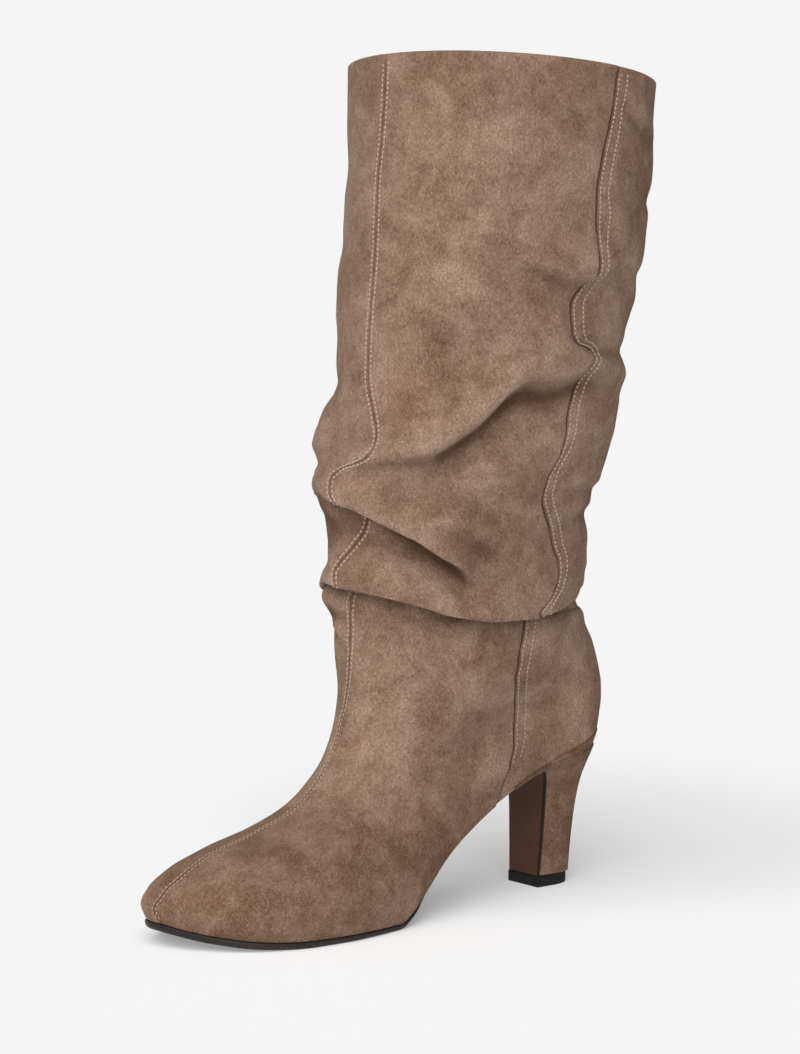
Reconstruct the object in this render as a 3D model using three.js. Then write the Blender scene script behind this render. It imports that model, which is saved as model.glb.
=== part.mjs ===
// Left slouch boot on a slim covered heel, in millimetres.
// X runs from the toe (-X) to the heel (+X), the outer side of the foot is -Y, the inner side +Y, Z is up.
// The origin is on the floor, at the middle of the heel's top lift.
import * as THREE from "three";

// Driving sizes of the last, the sole and the heel.
const LENGTH = 246; // back of the heel seat to the toe tip
const BALL_WIDTH = 81.6;
const HEEL_HEIGHT = 68; // floor to the underside of the seat, at the back
const HEEL_BACK = 24.5; // middle of the top lift to the back of the seat
const TOE_SPRING = 8;
const TOE_ROUND = 58; // length over which the outline closes at the toe
const SEAT_ROUND = 28; // length over which it closes at the back of the heel
const SOLE_THICKNESS = 3.2;
const WAIST_THICKNESS = 1.6;
const SOLE_BEVEL = 1.1; // the underside lies this far inside the edge
const SOLE_BELLY = 0.35; // the edge is widest at this share of the thickness
const INSOLE_THICKNESS = 2;
const LIFT_DEPTH = 24.6;
const LIFT_WIDTH = 21.4;
const LIFT_THICKNESS = 5.5;
const LIFT_CHAMFER = 0.4;
const LIFT_BELLY = 0.3; // each side swells this much at its middle
const FACING_THICKNESS = 1.3;

// Driving sizes of the upper.
const WALL = 1.8;
const INSTEP_HEIGHT = 137; // floor to the top of the ankle, under the lowest fold
const SHAFT_HEIGHT = 251; // top of the ankle to the collar
const COLLAR_DEPTH = 155; // front to back
const COLLAR_WIDTH = 135;
const ANKLE_WIDTH = 78;
const COLLAR_RISE = 7.5; // the front of the collar stands this much above its back
const FOLD_DEPTH = 9; // how far the largest fold stands out
const FOLD_DROP = 9; // how far its edge hangs down
const FOLD_BREADTH = 24; // height of its upper slope
const SEAM_STEP = 0.8; // the back panel lies this much under the edge of the front panels

// Clearances.
const GAP = 0.3; // between neighbouring pieces
const FEATHER_INSET = 0.8; // the upper starts this far inside the edge of the sole

// Fineness of the surfaces: points around half a ring of the upper in front of the side seam and behind
// it, and rings of the upper, the heel block and the heel breast.
const COLUMNS_AHEAD = 15;
const COLUMNS_BEHIND = 11;
const FOOT_RINGS = 12;
const FOLD_RINGS = 24;
const PLAIN_RINGS = 6;
const HEEL_SIDE = 6; // points along half a heel ring, up to its widest place
const HEEL_ROUND = 8; // and from there round to the back
const HEEL_STEP = 0.012; // least rise from one ring of the heel to the next
const BREAST_RINGS = 20;
const SEAM_GRIP = 0.012; // half the turn that the step of the side seam takes, in radians
const TURN_REACH = 0.02; // turn to each side over which the direction of a line round the foot is read
const LEVEL_REACH = 0.012; // the same for levels and turns of the upper's face
const RISE_REACH = 0.004; // and for the line up the heel breast

// Levels of the upper: 0 at the sole, 1 at the ankle, 2 at the collar.
const FOOT_END = 0.98; // the close rings of the folds start here
const FOLDS_END = 1.62; // and end here
const BLEND_START = 0.9; // the foot passes into the shaft from here
const BLEND_END = 1.04; // to here

// Outline of the sole. at: share of LENGTH from the back; half: half width, and middle: shift to the inner
// side, as shares of BALL_WIDTH. The round ends come on top.
const OUTLINE = [
  { at: 0.0, half: 0.34, middle: 0.0 },
  { at: 0.1, half: 0.34, middle: 0.0 },
  { at: 0.2, half: 0.32, middle: -0.004 },
  { at: 0.3, half: 0.308, middle: -0.02 },
  { at: 0.4, half: 0.318, middle: -0.028 },
  { at: 0.49, half: 0.355, middle: -0.032 },
  { at: 0.57, half: 0.415, middle: -0.024 },
  { at: 0.65, half: 0.472, middle: -0.004 },
  { at: 0.71, half: 0.494, middle: 0.01 },
  { at: 0.77, half: 0.492, middle: 0.022 },
  { at: 0.84, half: 0.474, middle: 0.036 },
  { at: 0.9, half: 0.45, middle: 0.056 },
  { at: 0.95, half: 0.41, middle: 0.084 },
  { at: 1.0, half: 0.36, middle: 0.112 },
];

// Underside of the sole. rise: share of HEEL_HEIGHT; spring: share of TOE_SPRING; stout: 0 at the waist's
// thickness, 1 at the forefoot's.
const PROFILE = [
  { at: 0.0, rise: 1.0, spring: 0, stout: 0 },
  { at: 0.1, rise: 0.948, spring: 0, stout: 0 },
  { at: 0.2, rise: 0.866, spring: 0, stout: 0 },
  { at: 0.28, rise: 0.745, spring: 0, stout: 0 },
  { at: 0.36, rise: 0.592, spring: 0, stout: 0 },
  { at: 0.44, rise: 0.398, spring: 0, stout: 0 },
  { at: 0.505, rise: 0.18, spring: 0, stout: 0 },
  { at: 0.54, rise: 0.062, spring: 0, stout: 0.2 },
  { at: 0.575, rise: 0.0, spring: 0, stout: 0.4 },
  { at: 0.65, rise: 0.0, spring: 0, stout: 0.6 },
  { at: 0.78, rise: 0.0, spring: 0, stout: 0.8 },
  { at: 0.86, rise: 0.0, spring: 0.1, stout: 0.95 },
  { at: 0.94, rise: 0.0, spring: 0.46, stout: 1 },
  { at: 1.0, rise: 0.0, spring: 1, stout: 1 },
];

// Face of the heel breast, from the top lift up to the waist. rise: share of the breast's height; ahead:
// share of the way from the lift's front edge to the breast line; half: share of SEAT_ROUND.
const BREAST_AT = 0.196; // share of LENGTH from the back, where the outsole ends
const BREAST = [
  { rise: 0.0, ahead: 0.0, half: 0.375 },
  { rise: 0.35, ahead: -0.09, half: 0.42 },
  { rise: 0.7, ahead: -0.14, half: 0.465 },
  { rise: 0.85, ahead: -0.06, half: 0.52 },
  { rise: 0.94, ahead: 0.2, half: 0.64 },
  { rise: 0.985, ahead: 0.56, half: 0.79 },
  { rise: 1.0, ahead: 1.0, half: 0.88 },
];

// Heel block. rise: share of its height; half: share of SEAT_ROUND; back: share of HEEL_BACK; waist: where
// it is widest, as a share of the way from front to back.
const HEEL = [
  { rise: 0.0, half: 0.4, back: 0.56, waist: 0.5 },
  { rise: 0.18, half: 0.425, back: 0.59, waist: 0.5 },
  { rise: 0.38, half: 0.46, back: 0.635, waist: 0.5 },
  { rise: 0.6, half: 0.52, back: 0.71, waist: 0.5 },
  { rise: 0.76, half: 0.62, back: 0.795, waist: 0.48 },
  { rise: 0.88, half: 0.77, back: 0.88, waist: 0.46 },
  { rise: 1.0, half: 0.97, back: 0.985, waist: 0.45 },
];

// Lower side of every fold.
const LIP = 0.3; // share of the fold's breadth over which it ends below its edge
const HOLLOW = 1.7; // the hollow lies this many lips below the edge

// Rings of the foot, from the sole's edge to the ankle. level: share of the foot's rings; front and back:
// shares of LENGTH from the back of the seat; rise: height of the front point as a share of INSTEP_HEIGHT;
// lift: height of the back point over the sole's edge, as a share of the room under INSTEP_HEIGHT; vamp
// and quarter: fullness of the sole's outline at the front and the back; oval: how far the ring is an
// oval; half: its half width as a share of ANKLE_WIDTH; level_out: how far it has left the line of the
// sole; seam: turn of the side seam.
const FOOT = [
  { level: 0.0, front: 0.997, rise: 0.082, back: 0.003, lift: 0.0, vamp: 1.0, quarter: 1.0, oval: 0.0,
    half: 0.5, level_out: 0.0, seam: 112 },
  { level: 0.09, front: 1.007, rise: 0.13, back: -0.008, lift: 0.11, vamp: 1.03, quarter: 1.03, oval: 0.0,
    half: 0.5, level_out: 0.0, seam: 111 },
  { level: 0.18, front: 0.994, rise: 0.183, back: -0.014, lift: 0.22, vamp: 1.0, quarter: 1.05, oval: 0.04,
    half: 0.5, level_out: 0.02, seam: 109 },
  { level: 0.27, front: 0.958, rise: 0.233, back: -0.019, lift: 0.33, vamp: 0.94, quarter: 1.07, oval: 0.1,
    half: 0.49, level_out: 0.05, seam: 107 },
  { level: 0.36, front: 0.9, rise: 0.276, back: -0.02, lift: 0.44, vamp: 0.84, quarter: 1.08, oval: 0.18,
    half: 0.48, level_out: 0.1, seam: 105 },
  { level: 0.45, front: 0.81, rise: 0.316, back: -0.017, lift: 0.54, vamp: 0.73, quarter: 1.08, oval: 0.3,
    half: 0.48, level_out: 0.18, seam: 103 },
  { level: 0.54, front: 0.73, rise: 0.372, back: -0.012, lift: 0.63, vamp: 0.66, quarter: 1.08, oval: 0.45,
    half: 0.485, level_out: 0.28, seam: 100 },
  { level: 0.63, front: 0.678, rise: 0.435, back: -0.005, lift: 0.72, vamp: 0.62, quarter: 1.1, oval: 0.62,
    half: 0.49, level_out: 0.4, seam: 98 },
  { level: 0.73, front: 0.631, rise: 0.53, back: 0.003, lift: 0.8, vamp: 0.64, quarter: 1.12, oval: 0.8,
    half: 0.495, level_out: 0.56, seam: 96 },
  { level: 0.83, front: 0.602, rise: 0.67, back: 0.01, lift: 0.88, vamp: 0.74, quarter: 1.16, oval: 0.94,
    half: 0.5, level_out: 0.76, seam: 94 },
  { level: 0.92, front: 0.592, rise: 0.835, back: 0.017, lift: 0.95, vamp: 0.75, quarter: 1.3, oval: 1.0,
    half: 0.5, level_out: 0.92, seam: 93 },
  { level: 1.0, front: 0.592, rise: 1.0, back: 0.022, lift: 1.0, vamp: 0.75, quarter: 1.3, oval: 1.0,
    half: 0.5, level_out: 1.0, seam: 93 },
];

// Rings of the shaft. up: share of SHAFT_HEIGHT; middle: share of COLLAR_DEPTH ahead of the top lift's
// middle; deep and wide: shares of COLLAR_DEPTH and COLLAR_WIDTH; seam: turn of the side seam in degrees.
const SHAFT = [
  { up: 0.0, middle: 0.331, deep: 0.877, wide: 0.542, seam: 93 },
  { up: 0.05, middle: 0.336, deep: 0.877, wide: 0.572, seam: 97 },
  { up: 0.12, middle: 0.341, deep: 0.882, wide: 0.613, seam: 100 },
  { up: 0.19, middle: 0.338, deep: 0.897, wide: 0.675, seam: 95 },
  { up: 0.25, middle: 0.328, deep: 0.917, wide: 0.736, seam: 90 },
  { up: 0.33, middle: 0.289, deep: 0.953, wide: 0.807, seam: 94 },
  { up: 0.4, middle: 0.261, deep: 0.97, wide: 0.848, seam: 94 },
  { up: 0.46, middle: 0.248, deep: 0.972, wide: 0.874, seam: 101 },
  { up: 0.55, middle: 0.237, deep: 0.968, wide: 0.904, seam: 89 },
  { up: 0.64, middle: 0.22, deep: 0.97, wide: 0.94, seam: 90 },
  { up: 0.75, middle: 0.191, deep: 0.987, wide: 0.971, seam: 92 },
  { up: 0.87, middle: 0.173, deep: 1.0, wide: 0.996, seam: 93 },
  { up: 1.0, middle: 0.168, deep: 1.0, wide: 1.0, seam: 94 },
];

// Folds of the slouched shaft, from the lowest up. level: the ring that runs along the fold's edge; out,
// drop and breadth: shares of FOLD_DEPTH, FOLD_DROP and FOLD_BREADTH; under: depth of the hollow below the
// edge, share of FOLD_DEPTH. Each path gives the height of the edge as a share of SHAFT_HEIGHT at turns in
// degrees: 0 front, 90 outer side, 180 back, -90 inner side. strong: how much of the fold there is.
const FOLDS = [
  { name: "ankle", level: 0.08, out: 0.85, drop: 1.0, breadth: 0.9, under: 0.4, path: [
    { turn: -180, up: 0.035, strong: 0.45 },
    { turn: -135, up: 0.03, strong: 0.8 },
    { turn: -90, up: 0.03, strong: 1 },
    { turn: -55, up: 0.03, strong: 1 },
    { turn: -25, up: 0.045, strong: 1 },
    { turn: 0, up: 0.062, strong: 0.9 },
    { turn: 40, up: 0.022, strong: 1 },
    { turn: 80, up: 0.0, strong: 1 },
    { turn: 130, up: 0.006, strong: 0.8 },
    { turn: 180, up: 0.035, strong: 0.45 },
  ] },
  { name: "tuck", level: 0.16, out: 0.7, drop: 0.2, breadth: 0.7, under: 0.1, path: [
    { turn: -180, up: 0.13, strong: 0 },
    { turn: -100, up: 0.16, strong: 0 },
    { turn: -75, up: 0.2, strong: 0.7 },
    { turn: -45, up: 0.235, strong: 1 },
    { turn: -15, up: 0.222, strong: 1 },
    { turn: 5, up: 0.185, strong: 0.6 },
    { turn: 30, up: 0.12, strong: 0 },
    { turn: 78, up: 0.07, strong: 0 },
    { turn: 130, up: 0.12, strong: 0 },
    { turn: 180, up: 0.13, strong: 0 },
  ] },
  { name: "front", level: 0.24, out: 0.75, drop: 0.8, breadth: 0.75, under: 0.7, path: [
    { turn: -180, up: 0.25, strong: 0.7 },
    { turn: -130, up: 0.23, strong: 0.7 },
    { turn: -90, up: 0.27, strong: 0.6 },
    { turn: -50, up: 0.285, strong: 0.9 },
    { turn: -20, up: 0.27, strong: 1 },
    { turn: 0, up: 0.235, strong: 1 },
    { turn: 30, up: 0.178, strong: 1 },
    { turn: 58, up: 0.125, strong: 0.8 },
    { turn: 78, up: 0.1, strong: 0 },
    { turn: 100, up: 0.15, strong: 0 },
    { turn: 130, up: 0.21, strong: 0.5 },
    { turn: 160, up: 0.24, strong: 0.7 },
    { turn: 180, up: 0.25, strong: 0.7 },
  ] },
  { name: "side", level: 0.38, out: 0.8, drop: 0.6, breadth: 1.0, under: 0.8, path: [
    { turn: -180, up: 0.49, strong: 0.5 },
    { turn: -130, up: 0.44, strong: 0.9 },
    { turn: -90, up: 0.38, strong: 0.8 },
    { turn: -45, up: 0.34, strong: 0.6 },
    { turn: -10, up: 0.315, strong: 0.45 },
    { turn: 15, up: 0.3, strong: 0.7 },
    { turn: 38, up: 0.3, strong: 1 },
    { turn: 55, up: 0.355, strong: 1 },
    { turn: 72, up: 0.425, strong: 0.9 },
    { turn: 95, up: 0.445, strong: 0.6 },
    { turn: 120, up: 0.475, strong: 0.5 },
    { turn: 150, up: 0.495, strong: 0.45 },
    { turn: 180, up: 0.49, strong: 0.5 },
  ] },
  { name: "back", level: 0.64, out: 0.45, drop: 0.5, breadth: 0.9, under: 0.6, path: [
    { turn: -180, up: 0.64, strong: 0.4 },
    { turn: -130, up: 0.6, strong: 0.5 },
    { turn: -80, up: 0.58, strong: 0 },
    { turn: 0, up: 0.62, strong: 0 },
    { turn: 50, up: 0.64, strong: 0 },
    { turn: 72, up: 0.635, strong: 0.8 },
    { turn: 92, up: 0.62, strong: 0.9 },
    { turn: 115, up: 0.63, strong: 0.5 },
    { turn: 150, up: 0.65, strong: 0.3 },
    { turn: 180, up: 0.64, strong: 0.4 },
  ] },
];

// Colours and finishes.
const SUEDE = { color: 0x8b7361, roughness: 0.95, metalness: 0 };
const SOLE_EDGE = { color: 0x1d1816, roughness: 0.6, metalness: 0 };
const SOLE_LEATHER = { color: 0x482e21, roughness: 0.5, metalness: 0 };
const RUBBER = { color: 0x1e1f22, roughness: 0.7, metalness: 0 };
const LINING = { color: 0xb9a68f, roughness: 0.8, metalness: 0 };

// Smooth curve through one column of a table, with no overshoot between its rows.
function curveOf(rows, key, column) {
  const t = rows.map((row) => row[key]);
  const value = rows.map((row) => row[column]);
  const slope = t.slice(1).map((end, i) => (value[i + 1] - value[i]) / (end - t[i]));
  const tangent = value.map((_, i) => {
    const before = slope[Math.max(i - 1, 0)];
    const after = slope[Math.min(i, slope.length - 1)];
    return before * after <= 0 ? 0 : (2 * before * after) / (before + after);
  });
  return (at) => {
    const x = THREE.MathUtils.clamp(at, t[0], t[t.length - 1]);
    let i = 0;
    while (i < slope.length - 1 && x > t[i + 1]) i += 1;
    const span = t[i + 1] - t[i];
    const u = (x - t[i]) / span;
    const u2 = u * u;
    const u3 = u2 * u;
    return (2 * u3 - 3 * u2 + 1) * value[i] + (u3 - 2 * u2 + u) * span * tangent[i]
      + (3 * u2 - 2 * u3) * value[i + 1] + (u3 - u2) * span * tangent[i + 1];
  };
}

// One curve for each named column of a table.
function curvesOf(rows, key, columns) {
  return Object.fromEntries(columns.map((column) => [column, curveOf(rows, key, column)]));
}

const outline = curvesOf(OUTLINE, "at", ["half", "middle"]);
const profile = curvesOf(PROFILE, "at", ["rise", "spring", "stout"]);
const breast = curvesOf(BREAST, "rise", ["ahead", "half"]);
const heel = curvesOf(HEEL, "rise", ["half", "back", "waist"]);
const foot = curvesOf(FOOT, "level",
  ["front", "rise", "back", "lift", "vamp", "quarter", "oval", "half", "level_out", "seam"]);
const shaft = curvesOf(SHAFT, "up", ["middle", "deep", "wide", "seam"]);
const folds = FOLDS.map((fold) => ({ ...fold, ...curvesOf(fold.path, "turn", ["up", "strong"]) }));

// Share of LENGTH from the back of the seat, and the X that it stands for.
const stationOf = (x) => (HEEL_BACK - x) / LENGTH;
const xOf = (at) => HEEL_BACK - at * LENGTH;

function underside(x) {
  const at = stationOf(x);
  return HEEL_HEIGHT * profile.rise(at) + TOE_SPRING * profile.spring(at);
}

// Height of the sole's upper face, where the upper's edge sits.
function seatLine(x) {
  const thickness = THREE.MathUtils.lerp(WAIST_THICKNESS, SOLE_THICKNESS, profile.stout(stationOf(x)));
  return underside(x) + thickness;
}

// Share of the full width that is left near a round end, at a distance from it.
function roundEnd(distance, length) {
  const left = THREE.MathUtils.clamp(1 - distance / length, 0, 1);
  return Math.sqrt(1 - left * left);
}

// Shift of the foot's middle line to the inner side.
const middleLine = (x) => BALL_WIDTH * outline.middle(stationOf(x));
const nominalHalf = (x) => BALL_WIDTH * outline.half(stationOf(x));

// Point of the sole's outline at a turn in radians: 0 at the toe tip, positive to the outer side, pi at
// the back.
function outlinePoint(turn) {
  const x = xOf((1 + Math.cos(turn)) / 2);
  const half = nominalHalf(x) * roundEnd(x - xOf(1), TOE_ROUND) * roundEnd(HEEL_BACK - x, SEAT_ROUND);
  return new THREE.Vector2(x, middleLine(x) - Math.sign(Math.sin(turn)) * half);
}

// The same point moved inwards, square to the outline.
function insetPoint(turn, inset) {
  const here = outlinePoint(turn);
  const along = outlinePoint(turn + TURN_REACH).sub(outlinePoint(turn - TURN_REACH)).normalize();
  return new THREE.Vector2(here.x - along.y * inset, here.y + along.x * inset);
}

// Strip of triangles that closes a ring whose points mirror each other: i on the outer side, count - i on
// the inner side.
function capTriangles(count) {
  const triangles = [[0, 1, count - 1]];
  let i = 1;
  for (; i + 1 < count - i - 1; i += 1) {
    triangles.push([i, i + 1, count - i]);
    triangles.push([i + 1, count - i - 1, count - i]);
  }
  if (i + 1 === count - i - 1) triangles.push([i, i + 1, count - i]);
  return triangles;
}

function geometryOf(points, triangles) {
  const geometry = new THREE.BufferGeometry();
  const positions = new Float32Array(points.flatMap((p) => [p.x, p.y, p.z]));
  geometry.setAttribute("position", new THREE.BufferAttribute(positions, 3));
  geometry.setIndex(triangles.flat());
  geometry.computeVertexNormals();
  return geometry;
}

// Walls between neighbouring rings of one count, the first ring lowest.
function wallTriangles(ringCount, count, closed) {
  const triangles = [];
  const last = closed ? ringCount : ringCount - 1;
  for (let ring = 0; ring < last; ring += 1) {
    for (let i = 0; i < count; i += 1) {
      const next = (i + 1) % count;
      const low = ring * count;
      const high = ((ring + 1) % ringCount) * count;
      triangles.push([low + i, low + next, high + next]);
      triangles.push([low + i, high + next, high + i]);
    }
  }
  return triangles;
}

// Closed body from a stack of rings, with a cap at each end.
function stackOf(rings) {
  const count = rings[0].length;
  const top = (rings.length - 1) * count;
  const cap = capTriangles(count);
  return geometryOf(rings.flat(), [
    ...wallTriangles(rings.length, count, false),
    ...cap.map(([a, b, c]) => [c, b, a]),
    ...cap.map(([a, b, c]) => [top + a, top + b, top + c]),
  ]);
}

function piece(name, geometry, finish) {
  const mesh = new THREE.Mesh(geometry, new THREE.MeshStandardMaterial(finish));
  mesh.name = name;
  return mesh;
}

// Turns of a ring's points, from the front over the outer side, the back and the inner side. The seam has
// a point on each side of its step.
function ringTurns(seam) {
  const side = [];
  for (let i = 1; i < COLUMNS_AHEAD; i += 1) side.push((i / COLUMNS_AHEAD) * (seam - SEAM_GRIP));
  side.push(seam - SEAM_GRIP);
  side.push(seam + SEAM_GRIP);
  for (let i = 1; i < COLUMNS_BEHIND; i += 1) {
    side.push(seam + SEAM_GRIP + (i / COLUMNS_BEHIND) * (Math.PI - seam - SEAM_GRIP));
  }
  return [0, ...side, Math.PI, ...side.map((turn) => -turn).reverse()];
}

// Point of a foot ring. The plan goes from the sole's outline to an oval, the height from the sole's line
// to a slanted plane through the ring's front and back points.
function footPoint(level, turn) {
  const front = xOf(foot.front(level));
  const back = xOf(foot.back(level));
  const share = (1 - Math.cos(turn)) / 2;
  const x = THREE.MathUtils.lerp(front, back, share);
  const rearward = THREE.MathUtils.smoothstep(share, 0, 1);
  const fullness = THREE.MathUtils.lerp(foot.vamp(level), foot.quarter(level), rearward);
  const ends = roundEnd(x - front, TOE_ROUND) * roundEnd(back - x, SEAT_ROUND);
  const soleHalf = nominalHalf(x) * fullness * ends;
  const ovalHalf = ANKLE_WIDTH * foot.half(level) * Math.abs(Math.sin(turn));
  const half = THREE.MathUtils.lerp(soleHalf, ovalHalf, foot.oval(level));
  const frontZ = INSTEP_HEIGHT * foot.rise(level);
  const backZ = THREE.MathUtils.lerp(seatLine(back), INSTEP_HEIGHT, foot.lift(level));
  const overSole = THREE.MathUtils.lerp(frontZ - seatLine(front), backZ - seatLine(back), share);
  const following = seatLine(x) + overSole;
  const plane = THREE.MathUtils.lerp(frontZ, backZ, share);
  const middle = middleLine(x) * (1 - foot.oval(level));
  return new THREE.Vector3(x, middle - Math.sign(Math.sin(turn)) * half,
    THREE.MathUtils.lerp(following, plane, foot.level_out(level)));
}

// One-sided bell: 1 at the edge of a fold, fading over a short way below it and a long way above.
function bell(distance, below, above) {
  const t = distance / (distance < 0 ? below : above);
  return Math.exp(-t * t);
}

// Height of a ring at a turn, as a share of SHAFT_HEIGHT. The rings run along the edges of the folds.
const foldEdge = (fold, degrees) => fold.up(degrees) + FOLD_DROP * fold.drop / SHAFT_HEIGHT;
function ringHeight(level, degrees) {
  const edges = folds.map((fold) => ({ level: fold.level, up: foldEdge(fold, degrees) }));
  const marks = [{ level: 0, up: 0 }, ...edges, { level: 1, up: 1 }];
  return curveOf(marks, "level", "up")(level);
}

// Point of a shaft ring, with the folds pushed out and dropped over their hollows.
function shaftPoint(level, turn) {
  const degrees = THREE.MathUtils.radToDeg(Math.atan2(Math.sin(turn), Math.cos(turn)));
  const up = ringHeight(level, degrees);
  let out = 0;
  let drop = 0;
  for (const fold of folds) {
    const strong = fold.strong(degrees);
    const breadth = FOLD_BREADTH * fold.breadth;
    const below = breadth * LIP;
    const distance = SHAFT_HEIGHT * (up - foldEdge(fold, degrees));
    const edge = bell(distance, below, breadth) * strong;
    out += FOLD_DEPTH * fold.out * edge;
    out -= FOLD_DEPTH * fold.under * bell(distance + below * HOLLOW, below, below) * strong;
    drop += FOLD_DROP * fold.drop * edge;
  }
  const radius = COLLAR_DEPTH * shaft.deep(up) / 2 + out;
  const half = COLLAR_WIDTH * shaft.wide(up) / 2 + out;
  const x = -COLLAR_DEPTH * shaft.middle(up) - radius * Math.cos(turn);
  const slant = COLLAR_RISE * Math.cos(turn) * up / 2;
  return new THREE.Vector3(x, -half * Math.sin(turn), INSTEP_HEIGHT + SHAFT_HEIGHT * up + slant - drop);
}

// The upper's outer face at a level and a turn.
function upperPoint(v, turn) {
  if (v <= 0) {
    const edge = insetPoint(turn, FEATHER_INSET);
    return new THREE.Vector3(edge.x, edge.y, seatLine(edge.x) + GAP);
  }
  const mix = THREE.MathUtils.smoothstep(v, BLEND_START, BLEND_END);
  if (mix === 0) return footPoint(v, turn);
  const high = shaftPoint(Math.max(v - 1, 0), turn);
  return mix === 1 ? high : footPoint(Math.min(v, 1), turn).lerp(high, mix);
}

const seamTurn = (v) => THREE.MathUtils.degToRad(v < 1 ? foot.seam(v) : shaft.seam(v - 1));

// Outward normal of the outer face.
function upperNormal(v, turn) {
  const low = Math.max(v - LEVEL_REACH, 0.001);
  const high = Math.min(v + LEVEL_REACH, 2);
  const up = upperPoint(high, turn).sub(upperPoint(low, turn));
  const along = upperPoint(v, turn + LEVEL_REACH).sub(upperPoint(v, turn - LEVEL_REACH));
  return along.cross(up).normalize();
}

// Levels of the upper's rings: even in the foot, close in the folds, wide in the plain top of the shaft.
function upperLevels() {
  const spaced = (count, from, to) => (
    Array.from({ length: count }, (_, i) => from + (i / count) * (to - from)));
  return [...spaced(FOOT_RINGS, 0, FOOT_END), ...spaced(FOLD_RINGS, FOOT_END, FOLDS_END),
    ...spaced(PLAIN_RINGS, FOLDS_END, 2), 2];
}

function makeUpper() {
  const outer = [];
  const inner = [];
  const levels = upperLevels();
  levels.forEach((v, ring) => {
    const seam = seamTurn(v);
    const rim = ring === 0 || ring === levels.length - 1;
    const outerRing = [];
    const innerRing = [];
    for (const turn of ringTurns(seam)) {
      const point = upperPoint(v, turn);
      const normal = upperNormal(v, turn);
      if (rim) normal.setZ(0).normalize();
      const step = Math.abs(turn) > seam ? SEAM_STEP : 0;
      outerRing.push(point.clone().addScaledVector(normal, -step));
      const inside = point.clone().addScaledVector(normal, -step - WALL);
      if (ring === 0) inside.z = seatLine(inside.x) + GAP;
      innerRing.push(inside);
    }
    outer.push(outerRing);
    inner.push(innerRing);
  });
  const rings = [...outer, ...inner.reverse()];
  return geometryOf(rings.flat(), wallTriangles(rings.length, rings[0].length, true));
}

// Turns of a flat piece's outline, from the toe back to a station. They are the turns of the upper's
// lowest ring, so the faces that lie on each other bend along the same lines.
function outlineTurns(endAt) {
  const end = Math.acos(2 * endAt - 1);
  const side = ringTurns(seamTurn(0)).filter((turn) => turn > 0 && turn < end - SEAM_GRIP);
  if (endAt > 0) side.push(end);
  const back = endAt === 0 ? [Math.PI] : [];
  return [0, ...side, ...back, ...side.map((turn) => -turn).reverse()];
}

function makeOutsole() {
  const end = BREAST_AT + GAP / LENGTH;
  const turns = outlineTurns(end);
  const ring = (inset, height) => turns.map((turn) => {
    const p = insetPoint(turn, inset);
    return new THREE.Vector3(p.x, p.y, height(p.x));
  });
  const middle = (x) => THREE.MathUtils.lerp(underside(x), seatLine(x), SOLE_BELLY);
  return stackOf([ring(SOLE_BEVEL, underside), ring(0, middle), ring(0, seatLine)]);
}

function makeInsole() {
  const turns = outlineTurns(0);
  const inset = FEATHER_INSET + WALL + SEAM_STEP + GAP;
  const ring = (rise) => turns.map((turn) => {
    const p = insetPoint(turn, inset);
    return new THREE.Vector3(p.x, p.y, seatLine(p.x) + GAP + rise);
  });
  return stackOf([ring(0), ring(INSOLE_THICKNESS)]);
}

// Ring with a straight front edge and a round back, in a heel or lift.
function heelRing(front, back, waist, frontHalf, half, height) {
  const widest = THREE.MathUtils.lerp(front, back, waist);
  const side = [new THREE.Vector2(front, frontHalf)];
  for (let i = 1; i <= HEEL_SIDE; i += 1) {
    const share = i / HEEL_SIDE;
    side.push(new THREE.Vector2(THREE.MathUtils.lerp(front, widest, share),
      frontHalf + (half - frontHalf) * Math.sin(share * Math.PI / 2)));
  }
  for (let i = 1; i < HEEL_ROUND; i += 1) {
    const turn = (i / HEEL_ROUND) * Math.PI / 2;
    side.push(new THREE.Vector2(widest + (back - widest) * Math.sin(turn), half * Math.cos(turn)));
  }
  const point = (x, y) => new THREE.Vector3(x, y, height(x));
  return [point(front, 0), ...side.map((p) => point(p.x, -p.y)), point(back, 0),
    ...side.map((p) => point(p.x, p.y)).reverse()];
}

const liftFront = -LIFT_DEPTH / 2;
function makeTopLift() {
  const ring = (inset, z) => heelRing(liftFront + inset, LIFT_DEPTH / 2 - inset, 0.5, LIFT_WIDTH / 2 - inset,
    LIFT_WIDTH / 2 + LIFT_BELLY - inset, () => z);
  return stackOf([ring(LIFT_CHAMFER, 0), ring(0, LIFT_CHAMFER), ring(0, LIFT_THICKNESS)]);
}

// Face of the heel breast in the middle plane, at a share of its height, moved back square to the face.
const breastLine = xOf(BREAST_AT);
const breastFoot = LIFT_THICKNESS + GAP;
function breastPoint(rise, behind) {
  const at = (r) => new THREE.Vector2(THREE.MathUtils.lerp(liftFront, breastLine, breast.ahead(r)),
    THREE.MathUtils.lerp(breastFoot, underside(breastLine), r));
  const along = at(Math.min(rise + RISE_REACH, 1)).sub(at(Math.max(rise - RISE_REACH, 0))).normalize();
  const point = at(rise);
  return new THREE.Vector2(point.x + along.y * behind, point.y - along.x * behind);
}

const breastRises = Array.from({ length: BREAST_RINGS + 1 }, (_, i) => 1 - (1 - i / BREAST_RINGS) ** 2);
const breastHalf = (rise) => SEAT_ROUND * breast.half(rise);

// Sheet over the face of the heel, from the top lift to the end of the outsole.
function makeBreastFacing() {
  const rings = breastRises.map((rise) => {
    const face = breastPoint(rise, 0);
    const rear = breastPoint(rise, FACING_THICKNESS);
    if (rise === 0) rear.y = face.y;
    if (rise === 1) rear.x = face.x;
    const half = breastHalf(rise);
    return [[face, 0], [face, -half], [rear, -half], [rear, half], [face, half]]
      .map(([p, y]) => new THREE.Vector3(p.x, y, p.y));
  });
  return stackOf(rings);
}

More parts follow.
